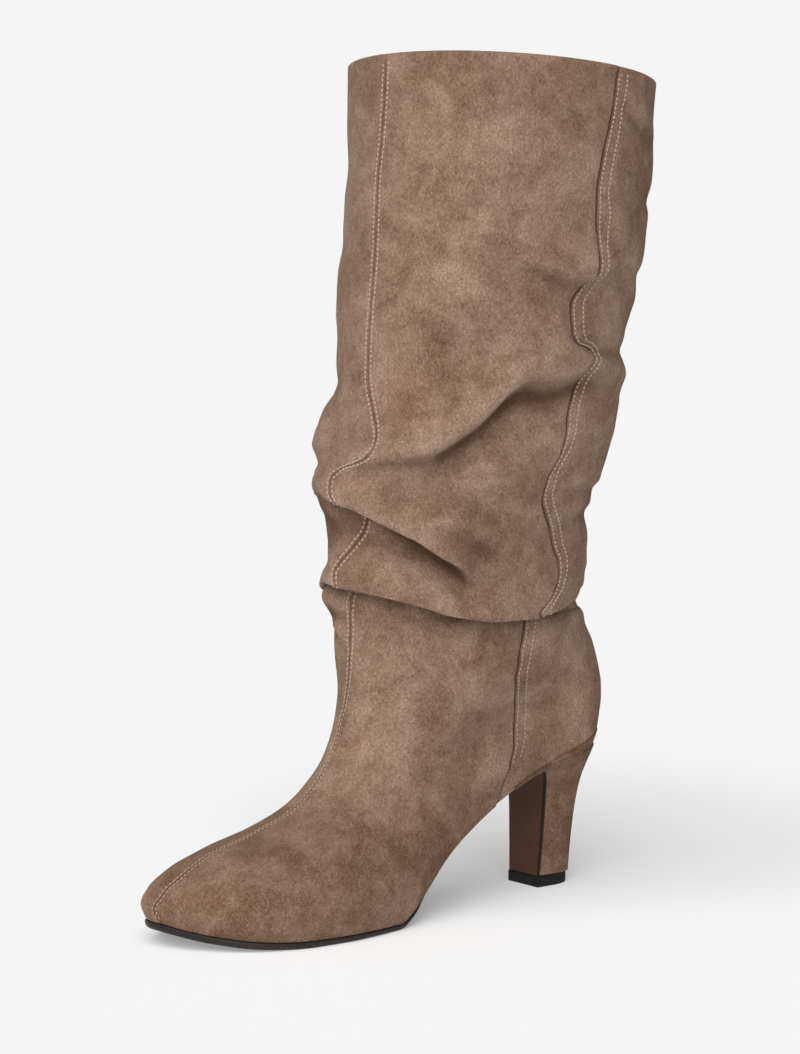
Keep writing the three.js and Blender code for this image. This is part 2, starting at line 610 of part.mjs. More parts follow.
// Each ring of the heel block starts at the back of the facing, a clearance away, and follows the seat as
// far as it has risen towards it.
function makeHeelBlock() {
  const rings = [];
  let lowest = -1;
  for (const share of breastRises) {
    const front = breastPoint(share, FACING_THICKNESS + GAP);
    if (share === 0) front.y = breastFoot;
    const rise = share === 1 ? 1 : (front.y - breastFoot) / (seatLine(front.x) - breastFoot);
    if (rise - lowest < HEEL_STEP || (1 - rise < HEEL_STEP && share < 1)) continue;
    lowest = rise;
    const half = SEAT_ROUND * heel.half(rise);
    const height = (x) => THREE.MathUtils.lerp(breastFoot, seatLine(x), rise);
    const frontHalf = Math.min(breastHalf(share), half);
    rings.push(heelRing(front.x, HEEL_BACK * heel.back(rise), heel.waist(rise), frontHalf, half, height));
  }
  return stackOf(rings);
}

const group = new THREE.Group();
group.add(piece("outsole", makeOutsole(), SOLE_EDGE));
group.add(piece("breast_facing", makeBreastFacing(), SOLE_LEATHER));
group.add(piece("heel_block", makeHeelBlock(), SUEDE));
group.add(piece("top_lift", makeTopLift(), RUBBER));
group.add(piece("insole", makeInsole(), LINING));
group.add(piece("upper", makeUpper(), SUEDE));

export default group;
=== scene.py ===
"""Looks of a left slouch boot in taupe suede on a slim covered heel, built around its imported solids.

Sizes are in millimetres in the boot's own frame: X runs from the toe to the heel, -Y is the outer side, Z is up.
The meshes are made in metres.
"""

import logging
import math
from dataclasses import dataclass, field
from enum import Enum

import bpy
import numpy as np
from mathutils import Matrix


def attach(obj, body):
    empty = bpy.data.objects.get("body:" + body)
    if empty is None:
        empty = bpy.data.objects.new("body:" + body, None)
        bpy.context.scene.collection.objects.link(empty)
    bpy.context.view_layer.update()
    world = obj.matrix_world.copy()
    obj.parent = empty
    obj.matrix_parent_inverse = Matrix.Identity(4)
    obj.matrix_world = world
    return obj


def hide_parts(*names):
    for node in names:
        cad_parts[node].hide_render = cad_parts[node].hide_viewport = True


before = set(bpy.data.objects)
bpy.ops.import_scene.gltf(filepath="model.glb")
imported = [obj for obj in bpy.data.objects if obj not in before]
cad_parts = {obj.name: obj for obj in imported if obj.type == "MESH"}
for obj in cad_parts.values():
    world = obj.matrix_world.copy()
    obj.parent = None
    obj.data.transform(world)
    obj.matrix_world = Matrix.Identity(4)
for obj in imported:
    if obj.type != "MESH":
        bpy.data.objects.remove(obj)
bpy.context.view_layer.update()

logging.basicConfig(level=logging.INFO, format="%(message)s")
log = logging.getLogger("slouch_boot")

MM = 0.001
BODY = "root"

Array = np.ndarray
Table = tuple[tuple[float, ...], ...]


def smooth(at: Array, low: float, high: float) -> Array:
    """Return 0 below low, 1 above high and a smooth step between them."""
    t = np.clip((at - low) / (high - low), 0.0, 1.0)
    return t * t * (3.0 - 2.0 * t)


def bell(distance: Array, below: float, above: float) -> Array:
    """Return a one-sided bell: 1 at the line, fading over `below` under it and `above` over it."""
    t = distance / np.where(distance < 0.0, below, above)
    return np.exp(-t * t)


def curve(knots: Array, values: Array, at: Array) -> Array:
    """Follow a smooth line through table values, with no overshoot between them.

    Args:
        knots: Positions of the values, rising.
        values: One value for each knot, or one array of them that `at` broadcasts with.
        at: Positions to read.

    Returns:
        The values at those positions.
    """
    knots, values, at = np.asarray(knots, float), np.asarray(values, float), np.asarray(at, float)
    spans = np.diff(knots).reshape((-1,) + (1,) * (values.ndim - 1))
    slope = np.diff(values, axis=0) / spans
    before, after = np.concatenate([slope[:1], slope]), np.concatenate([slope, slope[-1:]])
    product, total = before * after, before + after
    tangent = np.where(product <= 0.0, 0.0, 2.0 * product / np.where(total == 0.0, 1.0, total))
    if values.ndim > 1:
        at = np.broadcast_to(at, values.shape[1:])
    x = np.clip(at, knots[0], knots[-1])
    i = np.clip(np.searchsorted(knots, x, side="left") - 1, 0, len(knots) - 2)
    pick = (lambda table, k: np.take_along_axis(table, k[None], 0)[0]) if values.ndim > 1 else (lambda table, k: table[k])
    span = knots[i + 1] - knots[i]
    u = (x - knots[i]) / span
    u2, u3 = u * u, u * u * u
    return ((2 * u3 - 3 * u2 + 1) * pick(values, i) + (u3 - 2 * u2 + u) * span * pick(tangent, i)
            + (3 * u2 - 2 * u3) * pick(values, i + 1) + (u3 - u2) * span * pick(tangent, i + 1))


def column(table: Table, at: Array, index: int) -> Array:
    """Read one column of a table whose first column holds the positions."""
    rows = np.array(table, float)
    return curve(rows[:, 0], rows[:, index], at)


@dataclass
class Last:
    """Sizes and lines of the last and its sole, in millimetres."""

    length: float = 246.0
    ball_width: float = 81.6
    heel_height: float = 68.0
    heel_back: float = 24.5
    toe_spring: float = 8.0
    toe_round: float = 58.0
    seat_round: float = 28.0
    forefoot_thickness: float = 3.2
    waist_thickness: float = 1.6
    # station from the back, half width and shift to the inner side as shares of the ball's width
    outline: Table = (
        (0.0, 0.34, 0.0), (0.1, 0.34, 0.0), (0.2, 0.32, -0.004), (0.3, 0.308, -0.02), (0.4, 0.318, -0.028),
        (0.49, 0.355, -0.032), (0.57, 0.415, -0.024), (0.65, 0.472, -0.004), (0.71, 0.494, 0.01),
        (0.77, 0.492, 0.022), (0.84, 0.474, 0.036), (0.9, 0.45, 0.056), (0.95, 0.41, 0.084), (1.0, 0.36, 0.112))
    # station, rise as a share of the heel, spring of the toe, thickness from the waist's 0 to the forefoot's 1
    profile: Table = (
        (0.0, 1.0, 0.0, 0.0), (0.1, 0.948, 0.0, 0.0), (0.2, 0.866, 0.0, 0.0), (0.28, 0.745, 0.0, 0.0),
        (0.36, 0.592, 0.0, 0.0), (0.44, 0.398, 0.0, 0.0), (0.505, 0.18, 0.0, 0.0), (0.54, 0.062, 0.0, 0.2),
        (0.575, 0.0, 0.0, 0.4), (0.65, 0.0, 0.0, 0.6), (0.78, 0.0, 0.0, 0.8), (0.86, 0.0, 0.1, 0.95),
        (0.94, 0.0, 0.46, 1.0), (1.0, 0.0, 1.0, 1.0))

    def station(self, x: Array) -> Array:
        """Return the share of the length from the back of the seat."""
        return (self.heel_back - x) / self.length

    def x_at(self, station: Array) -> Array:
        """Return the X of a station."""
        return self.heel_back - station * self.length

    def underside(self, x: Array) -> Array:
        """Return the height of the sole's underside."""
        at = self.station(x)
        return self.heel_height * column(self.profile, at, 1) + self.toe_spring * column(self.profile, at, 2)

    def seat(self, x: Array) -> Array:
        """Return the height of the sole's upper face."""
        stout = column(self.profile, self.station(x), 3)
        return self.underside(x) + self.waist_thickness + (self.forefoot_thickness - self.waist_thickness) * stout

    def middle(self, x: Array) -> Array:
        """Return how far the foot's middle line lies to the inner side."""
        return self.ball_width * column(self.outline, self.station(x), 2)

    def half(self, x: Array) -> Array:
        """Return the outline's half width, without its round ends."""
        return self.ball_width * column(self.outline, self.station(x), 1)

    @staticmethod
    def round_end(distance: Array, length: float) -> Array:
        """Return the share of the width that is left near a round end."""
        left = np.clip(1.0 - distance / length, 0.0, 1.0)
        return np.sqrt(1.0 - left * left)

    def edge(self, turn: Array, inset: float = 0.0) -> tuple[Array, Array]:
        """Find the sole's outline, or a line inside it.

        Args:
            turn: Turn in radians, 0 at the toe tip, positive to the outer side, pi at the back.
            inset: How far the line lies inside the outline.

        Returns:
            The X and Y of the line.
        """
        def outline_at(t: Array) -> tuple[Array, Array]:
            """Return the outline's X and Y."""
            x = self.x_at((1.0 + np.cos(t)) / 2.0)
            ends = self.round_end(x - self.x_at(1.0), self.toe_round) * self.round_end(self.heel_back - x, self.seat_round)
            return x, self.middle(x) - np.sign(np.sin(t)) * self.half(x) * ends

        x, y = outline_at(turn)
        if np.any(inset):
            (ax, ay), (bx, by) = outline_at(turn + 0.02), outline_at(turn - 0.02)
            dx, dy = ax - bx, ay - by
            size = np.hypot(dx, dy)
            x, y = x - dy / size * inset, y + dx / size * inset
        return x, y


@dataclass
class Fold:
    """Fold that overhangs the suede below it.

    The rings of the shaft run along its edge. Below it lies a hollow that is `under` deep, `hollow` away from the
    edge and fades over `spread`. The path holds turns in degrees, heights as shares of the shaft and how much of the
    fold there is.
    """

    level: float
    out: float
    drop: float
    above: float
    below: float
    under: float
    hollow: float
    spread: float
    path: Table


@dataclass
class Crease:
    """Soft trough or ridge drawn on the unrolled shaft.

    The path runs from the front towards the back over turns in degrees and heights in millimetres, with the share of
    the crease at each point.
    """

    path: Table
    out: float
    above: float
    below: float
    hollow: float = 0.0
    levels: tuple[float, float] = (0.0, 2.1)
    radius: float = 62.0

    def height(self, degrees: Array, z: Array, v: Array) -> Array:
        """Return how far the suede stands out, or in, at turns, heights and levels."""
        points = np.array(self.path, float)
        u, w = np.radians(degrees) * self.radius, z
        pu, pw, strong = np.radians(points[:, 0]) * self.radius, points[:, 1], points[:, 2]
        best = np.full(np.broadcast(u, w).shape, np.inf)
        side, share = np.zeros_like(best), np.zeros_like(best)
        for i in range(len(points) - 1):
            du, dw = pu[i + 1] - pu[i], pw[i + 1] - pw[i]
            size = du * du + dw * dw
            t = np.clip(((u - pu[i]) * du + (w - pw[i]) * dw) / size, 0.0, 1.0)
            away = np.hypot(u - pu[i] - t * du, w - pw[i] - t * dw)
            cross = du * (w - pw[i]) - dw * (u - pu[i])
            nearer = away < best
            best = np.where(nearer, away, best)
            side = np.where(nearer, np.sign(cross), side)
            share = np.where(nearer, strong[i] + t * (strong[i + 1] - strong[i]), share)
        distance = best * side
        ridge = self.out * bell(distance, self.below, self.above)
        trough = self.hollow * bell(distance + 1.7 * self.below, self.below, self.below * 1.6)
        low, high = self.levels
        held = smooth(v, low - 0.02, low) * (1.0 - smooth(v, high, high + 0.02))
        return (ridge - trough) * share * held


@dataclass
class UpperForm:
    """Outer face of the upper: v runs from 0 at the sole over 1 at the ankle to 2 at the collar."""

    last: Last = field(default_factory=Last)
    gap: float = 0.3
    feather_inset: float = 0.8
    ankle_height: float = 137.0
    shaft_height: float = 251.0
    collar_depth: float = 155.0
    collar_width: float = 135.0
    collar_rise: float = 7.5
    ankle_width: float = 78.0
    # level, front and back station, rise, lift, fullness of vamp and quarter, oval, half width, levelling out
    foot_rings: Table = (
        (0.0, 0.997, 0.003, 0.082, 0.0, 1.0, 1.0, 0.0, 0.5, 0.0),
        (0.09, 1.007, -0.008, 0.13, 0.11, 1.03, 1.03, 0.0, 0.5, 0.0),
        (0.18, 0.994, -0.014, 0.183, 0.22, 1.0, 1.05, 0.04, 0.5, 0.02),
        (0.27, 0.958, -0.019, 0.233, 0.33, 0.94, 1.07, 0.1, 0.49, 0.05),
        (0.36, 0.9, -0.02, 0.276, 0.44, 0.84, 1.08, 0.18, 0.48, 0.1),
        (0.45, 0.81, -0.017, 0.316, 0.54, 0.73, 1.08, 0.3, 0.48, 0.18),
        (0.54, 0.73, -0.012, 0.372, 0.63, 0.66, 1.08, 0.45, 0.485, 0.28),
        (0.63, 0.678, -0.005, 0.435, 0.72, 0.62, 1.1, 0.62, 0.49, 0.4),
        (0.73, 0.631, 0.003, 0.53, 0.8, 0.64, 1.12, 0.8, 0.495, 0.56),
        (0.83, 0.602, 0.01, 0.67, 0.88, 0.74, 1.16, 0.94, 0.5, 0.76),
        (0.92, 0.592, 0.017, 0.835, 0.95, 0.75, 1.3, 1.0, 0.5, 0.92),
        (1.0, 0.592, 0.022, 1.0, 1.0, 0.75, 1.3, 1.0, 0.5, 1.0))
    # share of the shaft's height, middle, depth and width
    shaft_rings: Table = (
        (0.0, 0.331, 0.877, 0.542), (0.05, 0.336, 0.877, 0.572), (0.12, 0.341, 0.882, 0.613),
        (0.19, 0.338, 0.897, 0.675), (0.25, 0.328, 0.917, 0.736), (0.33, 0.289, 0.953, 0.807),
        (0.4, 0.261, 0.97, 0.848), (0.46, 0.248, 0.972, 0.874), (0.55, 0.237, 0.968, 0.904),
        (0.64, 0.22, 0.97, 0.94), (0.75, 0.191, 0.987, 0.971), (0.87, 0.173, 1.0, 0.996), (1.0, 0.168, 1.0, 1.0))
    folds: tuple[Fold, ...] = (
        Fold(0.08, 7.65, 8.0, 19.0, 4.0, 3.6, 6.0, 7.0, (
            (-180, 0.03, 0.45), (-135, 0.02, 0.8), (-90, 0.028, 1), (-55, 0.04, 1), (-39, 0.05, 1), (-16, 0.066, 1),
            (11, 0.058, 1), (27, 0.049, 1), (47, 0.029, 1), (57, 0.014, 1), (65, 0.006, 1), (79, -0.003, 1),
            (94, -0.003, 1), (104, -0.002, 0.95), (121, 0.006, 0.8), (142, 0.019, 0.45), (180, 0.03, 0.45))),
        Fold(0.17, 9.0, 0.5, 5.0, 15.0, 0.0, 9.0, 9.0, (
            (-180, 0.1, 0), (-110, 0.14, 0), (-85, 0.2, 0.6), (-60, 0.25, 1), (-40, 0.262, 1), (-28, 0.25, 1),
            (-15, 0.21, 0.8), (0, 0.175, 0.45), (22, 0.13, 0), (45, 0.09, 0), (60, 0.065, 0), (70, 0.045, 0),
            (80, 0.05, 0), (120, 0.08, 0), (180, 0.1, 0))),
        Fold(0.24, 6.75, 7.2, 22.0, 3.4, 7.0, 6.4, 10.0, (
            (-180, 0.19, 0.35), (-150, 0.2, 0.6), (-120, 0.23, 0.7), (-90, 0.27, 0.7), (-60, 0.295, 0.9),
            (-39, 0.29, 1), (-28, 0.278, 1), (-20, 0.25, 1), (-10, 0.226, 1), (12, 0.2, 1), (26, 0.177, 1),
            (41, 0.152, 1), (54, 0.122, 1), (60, 0.107, 0.9), (64, 0.092, 0.7), (67, 0.08, 0.4), (71, 0.076, 0.12),
            (76, 0.08, 0), (90, 0.1, 0), (105, 0.15, 0.05), (125, 0.172, 0.15), (145, 0.18, 0.2), (180, 0.19, 0.35))),
        Fold(0.38, 5.2, 2.4, 20.0, 7.0, 6.2, 13.0, 20.0, (
            (-180, 0.47, 0.4), (-130, 0.44, 0.8), (-90, 0.39, 0.8), (-45, 0.345, 0.3), (-10, 0.32, 0.1),
            (15, 0.305, 0.35), (25, 0.297, 0.7), (33, 0.3, 0.9), (43, 0.308, 1), (48, 0.328, 1), (54, 0.354, 1),
            (61, 0.386, 1), (67, 0.42, 1), (74, 0.438, 1), (86, 0.442, 0.9), (103, 0.46, 0.6), (120, 0.455, 0.35),
            (141, 0.447, 0.35), (180, 0.47, 0.4))),
        Fold(0.64, 3.4, 2.6, 18.0, 4.5, 4.6, 8.0, 13.0, (
            (-180, 0.64, 0.4), (-130, 0.6, 0.5), (-80, 0.58, 0), (0, 0.62, 0), (55, 0.645, 0), (68, 0.636, 0.35),
            (78, 0.629, 0.8), (90, 0.62, 1), (98, 0.624, 0.8), (112, 0.645, 0.35), (150, 0.655, 0.25), (180, 0.64, 0.4))),
    )
    creases: tuple[Crease, ...] = ()
    # height, and how far the suede swells there at the inner front and at the outer back
    trims: Table = ()
    front_seam: Table = ((0.0, 0.0), (2.0, 4.0))
    side_seam: Table = ((0.0, 112.0), (0.5, 103.0), (1.0, 93.0), (2.0, 94.0))

    def foot(self, level: Array, turn: Array) -> Array:
        """Return the points of foot rings."""
        def value(index: int) -> Array:
            """Return one column of the table at the level."""
            return column(self.foot_rings, level, index)

        last = self.last
        front, back = last.x_at(value(1)), last.x_at(value(2))
        share = (1.0 - np.cos(turn)) / 2.0
        x = front + (back - front) * share
        fullness = value(5) + (value(6) - value(5)) * smooth(share, 0.0, 1.0)
        ends = last.round_end(x - front, last.toe_round) * last.round_end(back - x, last.seat_round)
        sole_half = last.half(x) * fullness * ends
        oval = value(7)
        half = sole_half + (self.ankle_width * value(8) * np.abs(np.sin(turn)) - sole_half) * oval
        front_z = self.ankle_height * value(3)
        back_z = last.seat(back) + (self.ankle_height - last.seat(back)) * value(4)
        low, high = front_z - last.seat(front), back_z - last.seat(back)
        following = last.seat(x) + low + (high - low) * share
        plane = front_z + (back_z - front_z) * share
        z = following + (plane - following) * value(9)
        y = last.middle(x) * (1.0 - oval) - np.sign(np.sin(turn)) * half
        return np.stack(np.broadcast_arrays(x, y, z), -1)

    def edge_height(self, fold: Fold, degrees: Array) -> Array:
        """Return the height of a fold's line before it drops, as a share of the shaft."""
        return column(fold.path, degrees, 1) + fold.drop / self.shaft_height

    def shaft(self, level: Array, turn: Array) -> Array:
        """Return the points of shaft rings, with the folds pushed out and dropped over their hollows."""
        degrees = np.degrees(np.arctan2(np.sin(turn), np.cos(turn)))
        level, degrees = np.broadcast_arrays(level, degrees)
        edges = [self.edge_height(fold, degrees) for fold in self.folds]
        marks = np.stack([np.zeros_like(degrees), *edges, np.ones_like(degrees)])
        up = curve(np.array([0.0, *[fold.level for fold in self.folds], 1.0]), marks, level)
        out, drop = np.zeros_like(up), np.zeros_like(up)
        for fold, edge in zip(self.folds, edges):
            strong = column(fold.path, degrees, 2)
            distance = self.shaft_height * (up - edge)
            lip = bell(distance, fold.below, fold.above) * strong
            out += fold.out * lip
            out -= fold.under * bell(distance + fold.hollow, fold.spread, 0.7 * fold.hollow) * strong
            drop += fold.drop * lip
        radius = self.collar_depth * column(self.shaft_rings, up, 2) / 2.0 + out
        half = self.collar_width * column(self.shaft_rings, up, 3) / 2.0 + out
        x = -self.collar_depth * column(self.shaft_rings, up, 1) - radius * np.cos(turn)
        slant = self.collar_rise * np.cos(turn) * up / 2.0
        return np.stack([x, -half * np.sin(turn), self.ankle_height + self.shaft_height * up + slant - drop], -1)

    def base(self, v: Array, turn: Array) -> Array:
        """Return points of the upper's face without its small creases."""
        v, turn = np.broadcast_arrays(np.asarray(v, float), np.asarray(turn, float))
        points = self.foot(np.clip(v, 0.0, 1.0), turn)
        high = smooth(v, 0.9, 1.04)[..., None]
        points = points + (self.shaft(np.maximum(v - 1.0, 0.0), turn) - points) * high
        x, y = self.last.edge(turn, self.feather_inset)
        edge = np.stack([x, y, self.last.seat(x) + self.gap], -1)
        return edge + (points - edge) * smooth(v, -0.01, 0.05)[..., None]

    def normal(self, v: Array, turn: Array) -> Array:
        """Return the outward normals of the base face."""
        low, high = np.maximum(v - 0.004, 0.0), np.minimum(v + 0.004, 2.0)
        up = self.base(high, turn) - self.base(low, turn)
        along = self.base(v, turn + 0.006) - self.base(v, turn - 0.006)
        normal = np.cross(along, up)
        return normal / np.maximum(np.linalg.norm(normal, axis=-1, keepdims=True), 1e-9)

    def relief(self, points: Array, v: Array, turn: Array) -> Array:
        """Return how far the small creases and the trims of the outline move each point out."""
        degrees = np.degrees(np.arctan2(np.sin(turn), np.cos(turn)))
        z = points[..., 2]
        height = np.zeros(points.shape[:-1])
        for crease in self.creases:
            for wrap in (-360.0, 0.0, 360.0):
                path = np.array(crease.path)[:, 0] + wrap
                if path.max() > -240.0 and path.min() < 240.0:
                    height += crease.height(degrees - wrap, z, v)
        for middle, reach, index in ((-38.9, 34.0, 1), (141.1, 34.0, 2)):
            away = (degrees - middle + 180.0) % 360.0 - 180.0
            if self.trims:
                height += column(self.trims, z, index) * np.exp(-(away / reach) ** 2)
        return height

    def surface(self, v: Array, turn: Array, lift: Array | float = 0.0) -> tuple[Array, Array]:
        """Return points of the finished face, lifted along their normals, and the normals."""
        points, normal = self.base(v, turn), self.normal(v, turn)
        height = self.relief(points, v, turn) + lift
        return points + normal * np.asarray(height)[..., None], normal


# Meshes

def mesh_object(name: str, points: Array, faces: Array, marks: dict[str, Array] | None = None) -> bpy.types.Object:
    """Make a smooth-shaded mesh from points in millimetres.

    Args:
        name: Name of the piece.
        points: Points, one row each.
        faces: Corner numbers, four in each row.
        marks: Values for each point, kept under these names.

    Returns:
        The new object.
    """
    mesh = bpy.data.meshes.new(name)
    mesh.from_pydata((points.reshape(-1, 3) * MM).tolist(), [], faces.tolist())
    for key, values in (marks or {}).items():
        mesh.attributes.new(key, "FLOAT", "POINT").data.foreach_set("value", values.astype(np.float32).ravel())
    mesh.update()
    mesh.shade_smooth()
    piece = bpy.data.objects.new(name, mesh)
    bpy.context.scene.collection.objects.link(piece)
    return piece


def grid_faces(rows: int, columns: int, closed: bool = False, start: int = 0) -> Array:
    """Return the faces of a grid of points, wrapped around its columns where it is closed."""
    numbers = np.arange(rows * columns).reshape(rows, columns) + start
    if closed:
        numbers = np.concatenate([numbers, numbers[:, :1]], 1)
    corners = (numbers[:-1, :-1], numbers[:-1, 1:], numbers[1:, 1:], numbers[1:, :-1])
    return np.stack([corner.ravel() for corner in corners], 1)


def cap_faces(first: int, count: int, flip: bool) -> Array:
    """Return the faces that close a ring whose points mirror each other about its first one."""
    faces = [[first, first + 1, first + count - 1, first + count - 1]]
    for i in range(1, (count - 1) // 2):
        faces.append([first + i, first + i + 1, first + count - i - 1, first + count - i])
    if count % 2 == 0:
        middle = count // 2
        faces.append([first + middle - 1, first + middle, first + middle + 1, first + middle + 1])
    faces = np.array(faces)
    return faces[:, ::-1] if flip else faces


def stack_object(name: str, rings: Array, marks: dict[str, Array] | None = None) -> bpy.types.Object:
    """Make a closed body from a stack of rings, the first one lowest.

    Args:
        name: Name of the piece.
        rings: Points by ring and place in the ring.
        marks: Values for each point, kept under these names.

    Returns:
        The new object.
    """
    rows, count = rings.shape[:2]
    sides = grid_faces(rows, count, closed=True).tolist()
    caps = [*cap_faces(0, count, True).tolist(), *cap_faces((rows - 1) * count, count, False).tolist()]
    caps = [list(dict.fromkeys(face)) for face in caps]
    mesh = bpy.data.meshes.new(name)
    mesh.from_pydata((rings.reshape(-1, 3) * MM).tolist(), [], sides + caps)
    for key, values in (marks or {}).items():
        mesh.attributes.new(key, "FLOAT", "POINT").data.foreach_set("value", values.astype(np.float32).ravel())
    mesh.update()
    mesh.shade_smooth()
    mesh.set_sharp_from_angle(angle=math.radians(50.0))
    piece = bpy.data.objects.new(name, mesh)
    bpy.context.scene.collection.objects.link(piece)
    return piece


def blurred(values: Array, row_step: Array, column_step: Array, radius: float) -> Array:
    """Blur a grid of points by repeated steps of heat flow, to about a radius in millimetres."""
    result = values.copy()
    steps = 40
    rate_rows = np.clip((radius / np.maximum(row_step, 1e-3)) ** 2 / (2 * steps), 0.0, 0.24)[..., None]
    rate_columns = np.clip((radius / np.maximum(column_step, 1e-3)) ** 2 / (2 * steps), 0.0, 0.24)[..., None]
    for _ in range(steps):
        padded = np.pad(result, ((1, 1), (1, 1), (0, 0)), "edge")
        result = (result + rate_rows * (padded[2:, 1:-1] + padded[:-2, 1:-1] - 2 * result)
                  + rate_columns * (padded[1:-1, 2:] + padded[1:-1, :-2] - 2 * result))
    return result


# Shader node groups

class Group:
    """Shader node group under construction."""

    def __init__(self, name: str, inputs: dict[str, float], outputs: tuple[str, ...]) -> None:
        """Open a group with named number inputs and outputs.

        Args:
            name: Name of the group.
            inputs: Input names and their first values.
            outputs: Names of the outputs, all numbers.
        """
        self.tree = bpy.data.node_groups.new(name, "ShaderNodeTree")
        for key, value in inputs.items():
            self.tree.interface.new_socket(name=key, in_out="INPUT", socket_type="NodeSocketFloat").default_value = value
        for key in outputs:
            self.tree.interface.new_socket(name=key, in_out="OUTPUT", socket_type="NodeSocketFloat")
        self.entry = self.tree.nodes.new("NodeGroupInput")
        self.exit = self.tree.nodes.new("NodeGroupOutput")


def node(tree: bpy.types.NodeTree, kind: str, inputs: dict | None = None, **settings) -> bpy.types.Node:
    """Add a node.

    Args:
        tree: Tree that gets the node.
        kind: Name of the node's type, without its ShaderNode part.
        inputs: Values or sockets for its inputs, by name or number.
        **settings: Properties of the node.

    Returns:
        The new node.
    """
    new = tree.nodes.new("ShaderNode" + kind)
    for key, value in settings.items():
        setattr(new, key, value)
    for key, value in (inputs or {}).items():
        if isinstance(value, bpy.types.NodeSocket):
            tree.links.new(value, new.inputs[key])
        else:
            new.inputs[key].default_value = value
    return new


def noise(tree: bpy.types.NodeTree, where, scale, detail: float, rough: float, twist: float = 0.0):
    """Add a noise texture and return its value."""
    return node(tree, "TexNoise", {"Vector": where, "Scale": scale, "Detail": detail, "Roughness": rough,
                                   "Distortion": twist}).outputs["Fac"]


def spread(tree: bpy.types.NodeTree, value, low: float, high: float, to_low: float = 0.0, to_high: float = 1.0):
    """Map a value between two limits to two others and return it."""
    return node(tree, "MapRange", {"Value": value, "From Min": low, "From Max": high, "To Min": to_low,
                                   "To Max": to_high}).outputs["Result"]


def math_of(tree: bpy.types.NodeTree, operation: str, a, b=0.0, c=0.0):
    """Add a math node and return its value."""
    return node(tree, "Math", {0: a, 1: b, 2: c}, operation=operation).outputs[0]


def mixed(tree: bpy.types.NodeTree, share, a, b):
    """Mix two colours and return the result."""
    new = node(tree, "Mix", {0: share, 6: a, 7: b}, data_type="RGBA")
    return new.outputs[2]


def suede_nap() -> bpy.types.NodeTree:
    """Build the group for brushed leather: cloudy patches, small flecks, lying fibres and their height."""
    group = Group("suede_nap", {"Patch Size": 20.0, "Fleck Size": 1.2, "Shift": 0.0},
                  ("Patches", "Clouds", "Flecks", "Fibres", "Height"))
    tree = group.tree
    place = node(tree, "TexCoord").outputs["Object"]
    shift = node(tree, "CombineXYZ", {0: group.entry.outputs["Shift"], 1: group.entry.outputs["Shift"]}).outputs[0]
    where = node(tree, "VectorMath", {0: place, 1: shift}, operation="ADD").outputs[0]
    scale = math_of(tree, "DIVIDE", 1000.0, group.entry.outputs["Patch Size"])
    fleck_scale = math_of(tree, "DIVIDE", 1000.0, group.entry.outputs["Fleck Size"])
    patches = spread(tree, noise(tree, where, scale, 3.0, 0.55, 0.6), 0.36, 0.66)
    clouds = spread(tree, noise(tree, where, math_of(tree, "MULTIPLY", scale, 3.3), 4.0, 0.62, 0.3), 0.34, 0.68)
    flecks = spread(tree, noise(tree, where, fleck_scale, 3.0, 0.7), 0.32, 0.7)
    stretch = node(tree, "Mapping", {"Vector": where, "Scale": (1.0, 1.0, 0.45)}).outputs[0]
    fibres = spread(tree, noise(tree, stretch, math_of(tree, "MULTIPLY", fleck_scale, 2.4), 2.0, 0.6, 0.8), 0.3, 0.72)
    coarse = math_of(tree, "MULTIPLY", clouds, 0.35)
    height = math_of(tree, "ADD", math_of(tree, "MULTIPLY", flecks, 0.4), math_of(tree, "MULTIPLY", fibres, 0.35))
    results = {"Patches": patches, "Clouds": clouds, "Flecks": flecks, "Fibres": fibres,
               "Height": math_of(tree, "ADD", height, coarse)}
    for key, value in results.items():
        tree.links.new(value, group.exit.inputs[key])
    return tree


def skin_grain() -> bpy.types.NodeTree:
    """Build the group for smooth leather and rubber: pebbled grain, faint smears and their height."""
    group = Group("skin_grain", {"Grain Size": 0.8, "Smear Size": 9.0}, ("Grain", "Smears", "Height"))
    tree = group.tree
    where = node(tree, "TexCoord").outputs["Object"]
    grain_scale = math_of(tree, "DIVIDE", 1000.0, group.entry.outputs["Grain Size"])
    smear_scale = math_of(tree, "DIVIDE", 1000.0, group.entry.outputs["Smear Size"])
    cells = node(tree, "TexVoronoi", {"Vector": where, "Scale": grain_scale}).outputs["Distance"]
    grain = spread(tree, cells, 0.05, 0.8)
    smears = spread(tree, noise(tree, where, smear_scale, 4.0, 0.6, 0.5), 0.36, 0.66)
    height = math_of(tree, "ADD", math_of(tree, "MULTIPLY", grain, 0.7), math_of(tree, "MULTIPLY", smears, 0.3))
    for key, value in {"Grain": grain, "Smears": smears, "Height": height}.items():
        tree.links.new(value, group.exit.inputs[key])
    return tree


def floor_dust() -> bpy.types.NodeTree:
    """Build the group for pale dust that gathers low on the sole and the heel."""
    group = Group("floor_dust", {"Reach": 8.0, "Speck Size": 1.5}, ("Dust",))
    tree = group.tree
    where = node(tree, "TexCoord").outputs["Object"]
    z = math_of(tree, "MULTIPLY", node(tree, "SeparateXYZ", {0: where}).outputs["Z"], 1000.0)
    low = math_of(tree, "SUBTRACT", 1.0, math_of(tree, "DIVIDE", z, group.entry.outputs["Reach"]))
    scale = math_of(tree, "DIVIDE", 1000.0, group.entry.outputs["Speck Size"])
    specks = spread(tree, noise(tree, where, scale, 3.0, 0.6), 0.42, 0.66)
    clamped = node(tree, "Clamp", {"Value": low}).outputs[0]
    tree.links.new(math_of(tree, "MULTIPLY", clamped, specks), group.exit.inputs["Dust"])
    return tree


# Finishes

Colour = tuple[float, float, float]


def linear(red: int, green: int, blue: int) -> Colour:
    """Return the linear colour of a screen colour."""
    values = [v / 255.0 for v in (red, green, blue)]
    return tuple(v / 12.92 if v <= 0.04045 else ((v + 0.055) / 1.055) ** 2.4 for v in values)


